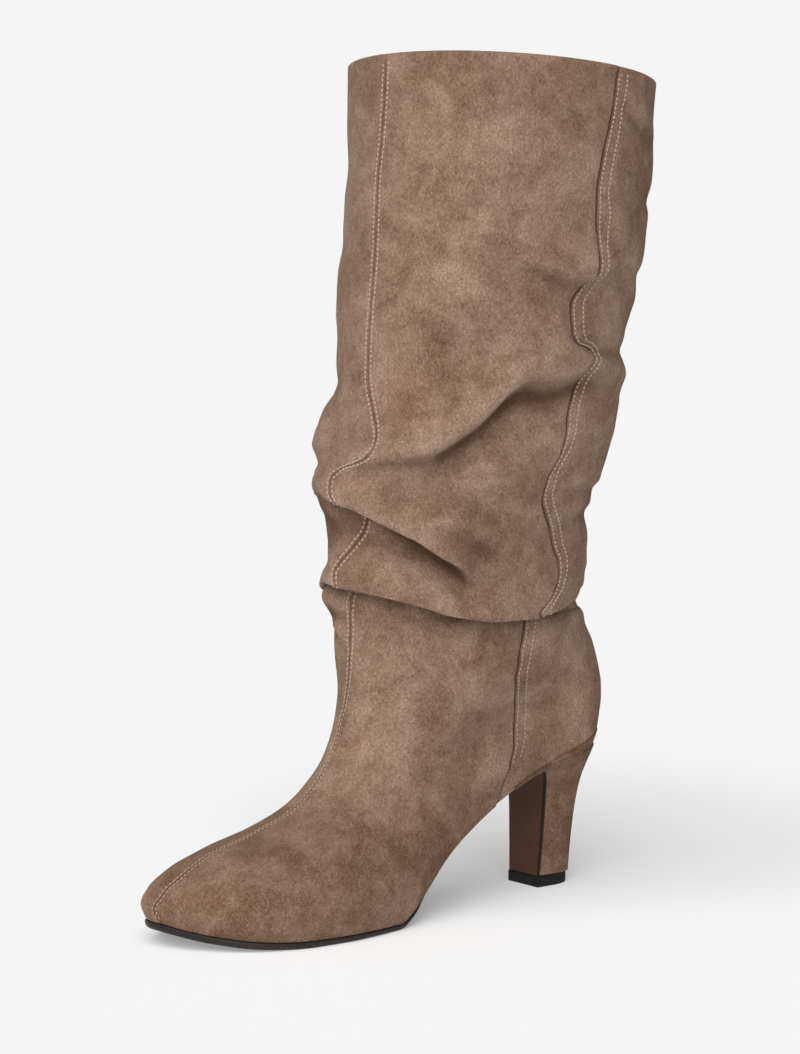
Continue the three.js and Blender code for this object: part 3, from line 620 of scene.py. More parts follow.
def rgba(colour: Colour) -> tuple[float, float, float, float]:
    """Return a colour with its alpha."""
    return (*colour, 1.0)


@dataclass(frozen=True)
class Groups:
    """Node groups that the finishes share."""

    nap: bpy.types.NodeTree
    grain: bpy.types.NodeTree
    dust: bpy.types.NodeTree

    def place(self, tree: bpy.types.NodeTree, which: str, values: dict[str, float]) -> bpy.types.Node:
        """Add one of the groups to a material with its own values."""
        new = tree.nodes.new("ShaderNodeGroup")
        new.node_tree = getattr(self, which)
        for key, value in values.items():
            new.inputs[key].default_value = value
        return new


def open_material(name: str) -> tuple[bpy.types.Material, bpy.types.NodeTree, bpy.types.Node]:
    """Make a material and return it with its tree and its surface shader."""
    material = bpy.data.materials.new(name)
    material.use_nodes = True
    tree = material.node_tree
    return material, tree, tree.nodes["Principled BSDF"]


@dataclass(frozen=True)
class SuedeFinish:
    """Mottled suede with painted shade in its hollows, darker towards the sole, and lighter ridges, partly rubbed nap
    and partly a painted highlight.
    """

    name: str
    base: Colour = linear(137, 111, 93)
    light: Colour = linear(174, 149, 130)
    dark: Colour = linear(98, 71, 52)
    # painted shade: the colour that the deepest hollows of the folds turn to
    hollow: Colour = linear(74, 49, 32)
    # dark seam line: the panel's cut edge and painted shadow in the seam's ditch
    seam_edge_and_shadow_colour: Colour = linear(60, 38, 25)
    shift: float = 0.0
    patch_size: float = 26.0
    tone: float = 0.5
    patch_share: float = 0.34
    cloud_share: float = 0.24
    fleck_share: float = 0.46
    fibre_share: float = 0.46

    def build(self, groups: Groups) -> bpy.types.Material:
        """Make the material from the shared groups."""
        material, tree, shader = open_material(self.name)
        nap = groups.place(tree, "nap", {"Patch Size": self.patch_size, "Fleck Size": 1.1, "Shift": self.shift}).outputs
        # fold mark: painted shade in hollows and lighter ridges; seam mark: dark seam lines with painted shadow; shade
        # mark: darker low on the foot and painted shade towards the back
        marks = {key: node(tree, "Attribute", attribute_name=key).outputs["Fac"] for key in ("fold", "seam", "shade")}
        # shade mark: darker low on the foot, and painted shade towards the back
        tone = math_of(tree, "MULTIPLY_ADD", marks["shade"], -0.5, self.tone)
        shares = (("Patches", self.patch_share), ("Clouds", self.cloud_share), ("Flecks", self.fleck_share),
                  ("Fibres", self.fibre_share))
        for key, share in shares:
            tone = math_of(tree, "ADD", tone, spread(tree, nap[key], 0.0, 1.0, -share / 2.0, share / 2.0))
        # painted shade and highlight: hollows darker, ridges lighter, the ridges partly as rubbed nap
        tone = math_of(tree, "ADD", tone, spread(tree, marks["fold"], -1.0, 1.0, -0.16, 0.16))
        ramp = node(tree, "ValToRGB", {"Fac": tone})
        ramp.color_ramp.elements[0].color, ramp.color_ramp.elements[1].color = rgba(self.dark), rgba(self.light)
        ramp.color_ramp.elements.new(0.5).color = rgba(self.base)
        # painted shade: the deepest hollows mix towards the hollow colour
        colour = mixed(tree, spread(tree, marks["fold"], -0.2, -1.0, 0.0, 0.75), ramp.outputs[0], rgba(self.hollow))
        # dark seam lines: cut edge and painted shadow
        colour = mixed(tree, marks["seam"], colour, rgba(self.seam_edge_and_shadow_colour))
        tree.links.new(colour, shader.inputs["Base Color"])
        tree.links.new(spread(tree, nap["Clouds"], 0.0, 1.0, 0.98, 0.86), shader.inputs["Roughness"])
        shader.inputs["Specular IOR Level"].default_value = 0.12
        shader.inputs["Sheen Weight"].default_value = 0.12
        shader.inputs["Sheen Roughness"].default_value = 0.45
        shader.inputs["Sheen Tint"].default_value = rgba(linear(205, 186, 168))
        bump = node(tree, "Bump", {"Height": nap["Height"], "Strength": 0.8, "Distance": 0.0007})
        tree.links.new(bump.outputs[0], shader.inputs["Normal"])
        return material


@dataclass(frozen=True)
class SkinFinish:
    """Smooth leather or rubber with a pebbled grain, smears and a little floor dust."""

    name: str
    base: Colour
    worn: Colour
    rough: tuple[float, float]
    grain_size: float = 0.8
    relief: float = 0.25
    coat: float = 0.0
    shine: float = 0.5
    dust: float = 0.0
    dust_reach: float = 8.0
    edge: Colour | None = None

    def build(self, groups: Groups) -> bpy.types.Material:
        """Make the material from the shared groups."""
        material, tree, shader = open_material(self.name)
        grain = groups.place(tree, "grain", {"Grain Size": self.grain_size, "Smear Size": 9.0}).outputs
        colour = mixed(tree, spread(tree, grain["Smears"], 0.0, 1.0, 0.0, 0.6), rgba(self.base), rgba(self.worn))
        if self.dust:
            dust = groups.place(tree, "dust", {"Reach": self.dust_reach, "Speck Size": 1.6}).outputs["Dust"]
            share = math_of(tree, "MULTIPLY", dust, self.dust)
            colour = mixed(tree, share, colour, rgba(linear(150, 138, 126)))
        if self.edge:
            colour = mixed(tree, node(tree, "Attribute", attribute_name="edge").outputs["Fac"], colour, rgba(self.edge))
        tree.links.new(colour, shader.inputs["Base Color"])
        shader.inputs["Specular IOR Level"].default_value = self.shine
        low, high = self.rough
        tree.links.new(spread(tree, grain["Smears"], 0.0, 1.0, low, high), shader.inputs["Roughness"])
        shader.inputs["Coat Weight"].default_value = self.coat
        shader.inputs["Coat Roughness"].default_value = 0.3
        bump = node(tree, "Bump", {"Height": grain["Height"], "Strength": self.relief, "Distance": 0.0004})
        tree.links.new(bump.outputs[0], shader.inputs["Normal"])
        return material


@dataclass(frozen=True)
class ThreadFinish:
    """Twisted pale thread."""

    name: str
    base: Colour = linear(196, 173, 153)
    dark: Colour = linear(166, 141, 120)

    def build(self, groups: Groups) -> bpy.types.Material:
        """Make the material from the shared groups."""
        material, tree, shader = open_material(self.name)
        nap = groups.place(tree, "nap", {"Patch Size": 30.0, "Fleck Size": 0.5, "Shift": 3.0}).outputs
        colour = mixed(tree, nap["Flecks"], rgba(self.dark), rgba(self.base))
        tree.links.new(colour, shader.inputs["Base Color"])
        tree.links.new(spread(tree, nap["Clouds"], 0.0, 1.0, 0.8, 0.65), shader.inputs["Roughness"])
        bump = node(tree, "Bump", {"Height": nap["Fibres"], "Strength": 0.5, "Distance": 0.0002})
        tree.links.new(bump.outputs[0], shader.inputs["Normal"])
        return material


def fit_piece(piece: bpy.types.Object, material: bpy.types.Material, replaced: str | None = None) -> None:
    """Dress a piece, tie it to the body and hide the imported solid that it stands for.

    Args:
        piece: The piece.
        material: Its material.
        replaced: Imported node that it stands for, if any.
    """
    piece.data.materials.append(material)
    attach(piece, BODY)
    if replaced:
        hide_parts(replaced)
    log.info("%s: %d faces", piece.name, len(piece.data.polygons))


# Upper

SHAFT_CREASES: tuple[Crease, ...] = (
    # dip over the front fold, and the end of its swell on the inner side
    Crease(((-27, 222, 0.3), (-12, 220, 1), (4, 219, 1), (14, 219.5, 0.7), (22, 221, 0)), -3.2, 9.0, 6.0),
    Crease(((-80, 243, 0.6), (-55, 242, 1), (-32, 241, 1), (-18, 238, 0.3), (-8, 237, 0)), -2.4, 7.0, 6.0),
    # swell under the ankle fold on the inner front, and the little lip below it
    Crease(((-120, 143, 0.4), (-70, 145, 0.9), (-39, 146, 1), (-20, 147, 0.8), (-6, 148, 0.2), (4, 149, 0)),
           6.0, 10.0, 8.0, levels=(0.88, 1.05)),
    Crease(((-24, 137, 0.3), (-16, 133, 1), (-8, 130, 1), (1, 127, 0.6), (6, 125, 0)), 1.6, 5.0, 2.0, 0.8,
           levels=(0.8, 1.02)),
    # hollow line behind the outer seam that ends the back's upper swell
    Crease(((92, 263.5, 0.5), (99, 261, 1), (108, 259, 1), (121, 258, 1), (145, 258.5, 0.8), (170, 262, 0)),
           -3.6, 6.0, 4.0),
    # ridge over the hook of the front fold
    Crease(((36, 180, 0), (44, 181, 0.8), (53, 182.5, 1), (62, 181, 1), (72, 176, 1), (80, 172, 0.7), (90, 168, 0)),
              1.9, 5.0, 4.0, 0.5),
    # sharper start of the side fold
    Crease(((0, 204, 0), (7, 207, 0.6), (13, 209.5, 0.9), (20, 211, 1), (33, 213, 1), (39, 214, 1), (45, 217, 1),
            (51, 222, 0.9), (56, 226, 0.8), (63, 239, 0.6), (68, 246, 0.5), (77, 250, 0.4), (88, 253, 0)),
           2.6, 7.0, 3.4, 1.2),
    # dip of the back's outline over the ankle fold
    Crease(((118, 183, 0), (132, 181, 0.8), (145, 180, 1), (165, 182, 0.6), (185, 184, 0)), -1.5, 6.0, 5.0),
    # upright ridge before the outer seam, and long creases of the back
    Crease(((74, 296, 0), (76, 288, 0.8), (79, 282, 1), (82, 273, 1), (85, 262, 0.3), (86, 257, 0)), 2.4, 4.5, 8.0),
    Crease(((104, 378, 0.3), (109, 372, 1), (115, 368, 1), (126, 363, 0.9), (140, 358, 0)), 1.7, 6.0, 4.0, 1.0),
    Crease(((98, 330, 0), (100, 321, 0.8), (107, 313, 1), (114, 306, 1), (124, 298, 0.8), (134, 291, 0.4), (142, 287, 0)),
           1.8, 7.0, 5.0, 1.2),
    Crease(((112, 338, 0), (120, 334, 0.8), (132, 331, 1), (141, 330, 1), (160, 332, 0)), -1.8, 6.0, 4.0),
    # slack of the shaft
    Crease(((-34, 312, 0), (-32, 300, 0.8), (-30, 288, 1), (-33, 276, 0.6), (-38, 266, 0)), 1.2, 5.0, 5.0),
    Crease(((20, 300, 0), (32, 292, 0.8), (48, 286, 1), (62, 276, 0.8), (72, 262, 0)), 1.3, 14.0, 12.0),
    Crease(((10, 262, 0), (24, 256, 1), (40, 256, 1), (54, 262, 0)), -1.3, 12.0, 12.0),
    Crease(((-150, 300, 0), (-130, 290, 1), (-105, 286, 1), (-85, 292, 0)), 2.0, 10.0, 5.0, 1.2),
    Crease(((-165, 330, 0), (-150, 322, 1), (-120, 322, 0.8), (-100, 330, 0)), -1.8, 8.0, 6.0),
    Crease(((-120, 200, 0), (-105, 190, 1), (-85, 178, 1), (-70, 172, 0)), 1.8, 8.0, 4.0, 1.0),
    # pocket under the lip of the front fold
    Crease(((-34, 192, 0.8), (-24, 190, 1.3), (-12, 184, 1.3), (0, 180, 1.1), (12, 176, 0.8), (26, 171, 0.7),
            (41, 166, 0.5), (54, 161, 0)), -4.2, 6.0, 11.0, levels=(0.95, 1.225)),
)
OUTLINE_TRIMS: Table = (
    (60, 0.0, 0.0), (100, -2.2, 0.0), (120, 0.6, 0.0), (128, 1.3, -1.5), (134, 1.4, -0.9), (140, 2.3, -1.2),
    (145, 3.7, -1.3), (149, 2.4, -0.9), (153, -0.3, -0.4), (158, -2.4, 1.1), (164, -5.7, 1.6),
    (171, -4.2, 2.5), (178, -0.9, 2.7), (183, 1.5, 1.9), (188, 4.0, -0.0), (193, 4.3, -0.8), (199, 3.0, 1.9),
    (204, 1.9, 1.9), (207.5, -0.4, 1.9), (211, 0.4, 1.7), (216, 2.3, 1.6), (222, 2.0, 1.9), (228, 1.6, 1.6),
    (234, 1.0, 1.4), (240, 0.4, 0.6), (246, -1.2, -0.6), (250, -0.8, -1.8), (254, -0.4, -2.6),
    (258, -0.2, -2.6), (262, -0.2, -2.6), (268, 0.0, -2.7), (276, 0.3, -0.9), (286, -0.0, 1.4),
    (296, -0.0, 0.6), (306, -0.7, 0.5), (318, 0.2, -0.1), (330, 0.2, -0.1), (345, -1.0, -0.6),
    (365, 0.0, -1.5), (392, 0.0, 0.0))

FRONT_SEAM: Table = (
    (0.0, 8.0), (0.08, 5.9), (0.16, 7.9), (0.24, 8.1), (0.32, 5.6), (0.4, -0.4), (0.48, -3.2), (0.56, -0.5),
    (0.64, -0.4), (0.72, -3.0), (0.8, -3.0), (0.88, 1.4), (0.96, 4.5), (1.0, 3.2), (1.045, 3.0), (1.08, 2.0),
    (1.105, 1.6), (1.12, 3.9), (1.135, 6.1), (1.15, 8.2), (1.165, 10.0), (1.18, 11.5), (1.195, 12.6), (1.21, 11.0),
    (1.225, 6.0), (1.24, 1.0), (1.255, -1.5), (1.27, -2.3), (1.285, -2.9), (1.3, -2.9), (1.315, -1.2), (1.33, 1.8),
    (1.345, 7.5), (1.36, 13.2), (1.375, 17.2), (1.39, 18.7), (1.405, 18.0), (1.42, 16.2), (1.435, 14.2),
    (1.45, 11.9), (1.465, 9.5), (1.48, 7.6), (1.495, 6.8), (1.55, 5.9), (1.6, 5.8), (1.65, 5.4), (1.7, 4.4),
    (1.75, 3.6), (1.8, 3.4), (1.85, 4.4), (1.9, 5.2), (1.95, 5.8), (2.0, 6.2))
SIDE_SEAM: Table = (
    (0.0, 112.5), (0.08, 113.0), (0.16, 114.3), (0.24, 113.9), (0.32, 112.1), (0.4, 109.3), (0.48, 105.4),
    (0.56, 101.2), (0.64, 97.6), (0.72, 93.9), (0.8, 91.0), (0.88, 90.8), (0.96, 95.4), (1.0, 98.0), (1.05, 99.0),
    (1.09, 97.8), (1.105, 97.5), (1.12, 99.0), (1.135, 101.2), (1.15, 104.7), (1.165, 107.5), (1.18, 110.2),
    (1.195, 111.0), (1.21, 108.1), (1.225, 105.8), (1.24, 102.7), (1.255, 100.0), (1.27, 97.4), (1.285, 96.6),
    (1.3, 98.6), (1.315, 98.3), (1.33, 97.3), (1.345, 98.0), (1.36, 98.2), (1.375, 99.3), (1.39, 101.8),
    (1.405, 101.8), (1.42, 97.8), (1.435, 92.6), (1.45, 90.8), (1.465, 89.6), (1.5, 89.0), (1.55, 89.6), (1.6, 93.6),
    (1.65, 96.1), (1.7, 94.4), (1.75, 92.5), (1.8, 90.9), (1.85, 91.7), (1.9, 94.1), (1.95, 96.5), (2.0, 97.7))


class Panel(Enum):
    """Cut pieces of the upper's suede."""

    OUTER_HALF = "outer_half"
    INNER_HALF = "inner_half"
    BACK_PANEL = "back_panel"


@dataclass
class Upper:
    """Suede panels, lining and seams of the upper."""

    form: UpperForm
    wall: float = 1.8
    seam_reach: tuple[float, ...] = (0.0, 0.25, 0.5, 0.8, 1.2, 1.7, 2.3, 3.1, 4.1, 5.4, 6.8, 8.0, 9.2)
    front_roll: float = 0.55
    front_width: float = 0.7
    side_roll: float = 1.8
    side_width: float = 1.5
    panel_step: float = 0.6
    collar_closed: float = 0.9
    # painted shadow under the lips of the front folds: turn, height, width, height reach and depth
    painted_shadow_pockets: tuple[tuple[float, ...], ...] = ((-24.0, 186.0, 18.0, 15.0, 1.0), (-8.0, 174.0, 9.0, 8.0, 0.7),
                                              (-20.0, 147.0, 14.0, 6.0, 1.0), (-16.0, 137.0, 10.0, 6.0, 0.6))
    row_counts: tuple[int, int, int] = (130, 250, 50)
    folds_end: float = 1.66

    def levels(self) -> Array:
        """Return the levels of the rows, from the sole to the collar."""
        low, folded, plain = self.row_counts
        return np.concatenate([np.linspace(0.0, 0.97, low, endpoint=False),
                               np.linspace(0.97, self.folds_end, folded, endpoint=False),
                               np.linspace(self.folds_end, 2.0, plain)])

    def seam_turns(self, v: Array, panel: Panel) -> tuple[Array, Array]:
        """Return the turns of the two seams that a panel lies between."""
        front = np.radians(column(self.form.front_seam, v, 1))
        side = np.radians(column(self.form.side_seam, v, 1))
        if panel is Panel.OUTER_HALF:
            return front, side
        if panel is Panel.INNER_HALF:
            return -side, front
        return side, 2.0 * math.pi - side

    def speed(self, v: Array, turn: Array) -> Array:
        """Return how many millimetres the surface runs for one radian of turn."""
        step = 0.01
        reach = self.form.base(v, turn + step) - self.form.base(v, turn - step)
        return np.linalg.norm(reach, axis=-1) / (2.0 * step)

    def columns(self, v: Array, panel: Panel, middle: int) -> tuple[Array, Array, Array]:
        """Lay out a panel's columns, close to its seams and wide between them.

        Args:
            v: Levels of the rows, as one column.
            panel: Panel to lay out.
            middle: Number of columns between the strips along the seams.

        Returns:
            Turns of all points, and their distances from the first and from the last seam in millimetres.
        """
        first, last = self.seam_turns(v, panel)
        reach = np.array(self.seam_reach)[None]
        near_first = first + reach / np.maximum(self.speed(v, first), 4.0)
        near_last = last - reach[:, ::-1] / np.maximum(self.speed(v, last), 4.0)
        share = np.linspace(0.0, 1.0, middle + 2)[None, 1:-1]
        between = near_first[:, -1:] + (near_last[:, :1] - near_first[:, -1:]) * share
        turn = np.concatenate([near_first, between, near_last], 1)
        far = np.full_like(between, 99.0)
        side = np.full_like(reach, 99.0)
        ones = np.ones_like(v)
        from_first = np.concatenate([reach * ones, far, side * ones], 1)
        from_last = np.concatenate([side * ones, far, reach[:, ::-1] * ones], 1)
        return turn, from_first, from_last

    def seam_profile(self, distance: Array, front: bool) -> Array:
        """Return the depth to which a panel's edge rolls in beside the front seam or a side seam."""
        roll, width = (self.front_roll, self.front_width) if front else (self.side_roll, self.side_width)
        t = np.clip(distance / width, 0.0, 1.0)
        return -roll * (1.0 - np.sqrt(1.0 - (1.0 - t) ** 2))

    @staticmethod
    def darkness(panel: Panel) -> tuple[float, float]:
        """Return how dark the lines of a panel's first and last seam are: cut edge and painted shadow."""
        return {Panel.OUTER_HALF: (0.4, 1.0), Panel.INNER_HALF: (1.0, 0.4), Panel.BACK_PANEL: (1.0, 1.0)}[panel]

    @staticmethod
    def front_offset(v: Array) -> Array:
        """Return how far the stitch rows lie from the front seam, close on the vamp and wider on the shaft."""
        return 0.95 + 0.75 * smooth(v, 0.82, 1.06)

    def stitch_rows(self, panel: Panel, v: Array) -> tuple[tuple[Array, ...], tuple[Array, ...]]:
        """Return the distances of the stitch rows from a panel's first and last seam."""
        near, far, front = 2.4 + 0.0 * v, 8.0 + 0.0 * v, self.front_offset(v)
        if panel is Panel.BACK_PANEL:
            return (near, far), (near, far)
        return ((front,), ()) if panel is Panel.OUTER_HALF else ((), (front,))

    def panel_object(self, panel: Panel, middle: int) -> bpy.types.Object:
        """Build one suede panel with its rolled edges and the turned edge at the collar."""
        v = self.levels()[:, None]
        turn, from_first, from_last = self.columns(v, panel, middle)
        v_all = np.broadcast_to(v, turn.shape)
        points, normal = self.form.surface(v_all, turn)
        lift = self.seam_profile(from_first, panel is Panel.OUTER_HALF)
        lift = lift + self.seam_profile(from_last, panel is Panel.INNER_HALF)
        lift = lift * (1.0 - self.collar_closed * smooth(v, v[-1] - 0.03, v[-1]))
        first_rows, last_rows = self.stitch_rows(panel, v)
        for rows, distance in ((first_rows, from_first), (last_rows, from_last)):
            for row in rows:
                lift -= 0.22 * np.exp(-((distance - row) / 0.55) ** 2)
        if panel is Panel.BACK_PANEL:
            lift -= self.panel_step
        row_step = np.linalg.norm(np.gradient(points, axis=0), axis=-1)
        column_step = np.linalg.norm(np.gradient(points, axis=1), axis=-1)
        base = blurred(points, row_step, column_step, 7.0)
        # fold mark: where the suede lies below its blurred face it is painted darker as shade, and on ridges lighter as
        # rubbed nap and painted highlight
        fold = np.clip(((points - base) * normal).sum(-1) / 1.6, -1.0, 1.0)
        degrees = (np.degrees(turn) + 180.0) % 360.0 - 180.0
        # painted shadow patches under the lips of the front folds
        for at, height, wide, high, deep in self.painted_shadow_pockets:
            fold -= deep * np.exp(-((degrees - at) / wide) ** 2 - ((points[..., 2] - height) / high) ** 2)
        fold = np.clip(fold, -1.0, 1.0)
        # dark seam lines: the cut edge and the painted shadow beside it
        first_dark, last_dark = self.darkness(panel)
        first_wide, last_wide = (0.5 + 0.45 * dark for dark in (first_dark, last_dark))
        seam = np.maximum(first_dark * np.exp(-(from_first / first_wide) ** 2),
                          last_dark * np.exp(-(from_last / last_wide) ** 2))
        points = points + normal * lift[..., None]
        points, fold, seam = self.tucked(points, fold, seam)
        rim_points, rim_marks = self.rim(points[-1], normal[-1])
        points = np.concatenate([points, rim_points])
        fold = np.concatenate([fold, np.repeat(fold[-1:], len(rim_points), 0)])
        seam = np.concatenate([seam, rim_marks * np.ones_like(seam[-1:])])
        shade = self.shade(points)
        return mesh_object(panel.value, points, grid_faces(*fold.shape), {"fold": fold, "seam": seam, "shade": shade})

    def tucked(self, points: Array, fold: Array, seam: Array) -> tuple[Array, Array, Array]:
        """Add rows below the lowest one that draw the suede under the edge of the waist."""
        last, edge = self.form.last, points[0]
        at = last.station(edge[:, 0])
        waist = smooth(at, 0.17, 0.2) * (1.0 - smooth(at, 0.47, 0.55))
        inward = np.sign(edge[:, 1] - last.middle(edge[:, 0]))
        rows = []
        for down, inside in ((2.1, 3.2), (2.3, 1.2), (1.6, 0.25), (0.8, 0.0)):
            row = edge.copy()
            row[:, 1] -= inward * inside * waist
            row[:, 2] -= down * waist
            rows.append(row)
        marks = [np.concatenate([np.repeat(mark[:1], len(rows), 0), mark]) for mark in (fold, seam)]
        return np.concatenate([np.stack(rows), points]), *marks

    @staticmethod
    def shade(points: Array) -> Array:
        """Return how much darker the suede is painted: darker low on the foot, and painted shade behind the outer side
        towards the back.
        """
        x, y, z = points[..., 0], points[..., 1], points[..., 2]
        # darker low on the foot
        low = 1.0 - smooth(z, 18.0, 78.0)
        # painted shade towards the back, the side turned away from the lamps
        behind = smooth(x, -20.0, 30.0) * 0.4
        return np.clip(0.42 * low + behind, 0.0, 1.0)

    def rim(self, top: Array, normal: Array) -> tuple[Array, Array]:
        """Return the rows that turn the suede's edge over the collar, and their seam marks."""
        turns = np.linspace(0.0, math.pi, 8)[1:]
        half = self.wall / 2.0
        up = np.array([0.0, 0.0, 1.0])
        rows = [top - normal * (half - half * math.cos(t)) + up * half * math.sin(t) for t in turns]
        rows.append(rows[-1] - up * 4.0)
        return np.stack(rows), np.zeros((len(rows), 1))

    def lining_object(self) -> bpy.types.Object:
        """Build the lining that shows inside the shaft."""
        v = self.levels()[::2][:, None]
        v = np.concatenate([v, [[2.0]]]) if v[-1, 0] < 2.0 else v
        turn = np.linspace(0.0, 2.0 * math.pi, 161)[None, :-1]
        v_all, turn_all = np.broadcast_arrays(v, turn)
        points, _ = self.form.surface(v_all, turn_all, -self.wall - 0.15)
        points[-1, :, 2] -= 1.0
        faces = grid_faces(*turn_all.shape, closed=True)[:, ::-1]
        return mesh_object("lining", points, faces)

    def build(self, suede: dict[Panel, bpy.types.Material], lining: bpy.types.Material) -> None:
        """Build and dress the panels and the lining."""
        for panel, middle in ((Panel.OUTER_HALF, 150), (Panel.INNER_HALF, 110), (Panel.BACK_PANEL, 100)):
            fit_piece(self.panel_object(panel, middle), suede[panel], "upper")
        fit_piece(self.lining_object(), lining)


@dataclass
class Stitching:
    """Rows of single stitches along the seams of the upper."""

    upper: Upper
    pitch: float = 2.2
    length: float = 1.6
    thickness: float = 0.9
    finer: float = 0.4
    sides: int = 6

    def track(self, seam_sign: int, offset: float, low: float, high: float) -> tuple[Array, Array]:
        """Follow a line beside a seam over the finished suede.

        Args:
            seam_sign: 0 for the front seam, 1 for the outer side seam, -1 for the inner one.
            offset: Distance behind a side seam, or 1 for the outer and -1 for the inner side of the front seam.
            low: Level where the line starts.
            high: Level where it ends.

        Returns:
            Points of the line and the suede's normals there.
        """
        form = self.upper.form
        v = np.linspace(low, high, 2400)
        if seam_sign == 0:
            turn = np.radians(column(form.front_seam, v, 1))
            direction = 1.0
        else:
            turn = seam_sign * np.radians(column(form.side_seam, v, 1))
            direction = float(seam_sign)
        away = offset if seam_sign else offset * self.upper.front_offset(v)
        turn = turn + direction * away / np.maximum(self.upper.speed(v, turn), 4.0)
        lift = -0.02 if seam_sign == 0 else -self.upper.panel_step - 0.02
        return form.surface(v, turn, lift)

    def stitches(self, points: Array, normals: Array) -> tuple[Array, Array]:
        """Set stitches along a line.

        Args:
            points: Points of the line.
            normals: Normals of the suede at those points.

        Returns:
            Points and faces of all stitches.
        """
        run = np.concatenate([[0.0], np.cumsum(np.linalg.norm(np.diff(points, axis=0), axis=1))])
        starts = np.arange(0.6, run[-1] - self.length - 0.6, self.pitch)
        share = np.linspace(0.0, 1.0, 6)
        at = starts[:, None] + share[None] * self.length
        spine = np.stack([np.interp(at, run, points[:, k]) for k in range(3)], -1)
        normal = np.stack([np.interp(at, run, normals[:, k]) for k in range(3)], -1)
        normal /= np.linalg.norm(normal, axis=-1, keepdims=True)
        arch = np.sin(share * math.pi) ** 0.5
        spine = spine + normal * ((arch - 1.0) * 0.35 + 0.08)[None, :, None]
        along = spine[:, -1:] - spine[:, :1]
        along /= np.linalg.norm(along, axis=-1, keepdims=True)
        across = np.cross(normal, np.broadcast_to(along, normal.shape))
        across /= np.linalg.norm(across, axis=-1, keepdims=True)
        fine = 1.0 - self.finer * (1.0 - smooth(spine[:, 2, 2], 95.0, 135.0))
        radius = self.thickness / 2.0 * np.array([0.55, 0.95, 1.0, 1.0, 0.95, 0.55])[None] * fine[:, None]
        turns = np.arange(self.sides) / self.sides * 2.0 * math.pi
        ring = (across[:, :, None] * np.cos(turns)[None, None, :, None]
                + normal[:, :, None] * np.sin(turns)[None, None, :, None] * 0.8) * radius[:, :, None, None]
        body = spine[:, :, None] + ring
        single = grid_faces(len(share), self.sides, closed=True)
        size = len(share) * self.sides
        faces = single[None] + (np.arange(len(starts)) * size)[:, None, None]
        return body.reshape(-1, 3), faces.reshape(-1, 4)

    def build(self, thread: bpy.types.Material) -> None:
        """Build and dress all rows as one piece."""
        rows = [(0, -1.0, 0.03, 1.995), (0, 1.0, 0.03, 1.995)]
        rows += [(side, offset, 0.16, 1.995) for side in (1, -1) for offset in (2.4, 8.0)]
        points, faces, start = [], [], 0
        for row in rows:
            p, f = self.stitches(*self.track(*row))
            points.append(p)
            faces.append(f + start)
            start += len(p)
        piece = mesh_object("stitching", np.concatenate(points), np.concatenate(faces))
        fit_piece(piece, thread)


# Sole and heel

@dataclass
class Sole:
    """Thin outsole with its dressed edge, and the sock over the insole."""

    last: Last
    gap: float = 0.3
    waist_inset: float = 2.2
    breast_at: float = 0.196
    insole_inset: float = 3.7
    insole_thickness: float = 2.0

    def turns(self, end_at: float, count: int) -> Array:
        """Return turns around the outline from the toe back to a station, close together at the toe."""
        end = math.acos(2.0 * end_at - 1.0)
        share = np.linspace(0.0, 1.0, count)
        side = end * share
        return np.concatenate([side, -side[1:-1 if end_at == 0 else None][::-1]])

    def ring(self, turns: Array, inset: float, z: Array | None, rise: float = 0.0) -> Array:
        """Return a ring of points inside the outline at a share of the sole's thickness."""
        x, _ = self.last.edge(turns, inset)
        at = self.last.station(x)
        x, y = self.last.edge(turns, inset + self.waist_inset * smooth(at, 0.17, 0.22) * (1.0 - smooth(at, 0.46, 0.54)))
        low, high = self.last.underside(x), self.last.seat(x)
        return np.stack([x, y, low + (high - low) * z + rise], -1)

    def outsole(self) -> bpy.types.Object:
        """Build the outsole with a rounded edge."""
        turns = self.turns(self.breast_at + self.gap / self.last.length, 120)
        steps = ((3.0, 0.0), (1.25, 0.0), (0.75, 0.1), (0.3, 0.3), (0.05, 0.55), (0.0, 0.75), (0.12, 0.94), (0.45, 1.0), (3.0, 1.0))
        rings = np.stack([self.ring(turns, inset, share) for inset, share in steps])
        return stack_object("outsole_dressed", rings)

    def sock(self) -> bpy.types.Object:
        """Build the sock that lies on the insole."""
        turns = self.turns(0.0, 100)
        x, y = self.last.edge(turns, self.insole_inset)
        seat = self.last.seat(x) + self.gap
        rings = [np.stack([x, y, seat], -1), np.stack([x, y, seat + self.insole_thickness - 0.4], -1)]
        x2, y2 = self.last.edge(turns, self.insole_inset + 0.5)
        rings.append(np.stack([x2, y2, self.last.seat(x2) + self.gap + self.insole_thickness], -1))
        return stack_object("sock", np.stack(rings))

    def build(self, edge: bpy.types.Material, lining: bpy.types.Material) -> None:
        """Build and dress the sole and the sock."""
        fit_piece(self.outsole(), edge, "outsole")
        fit_piece(self.sock(), lining, "insole")


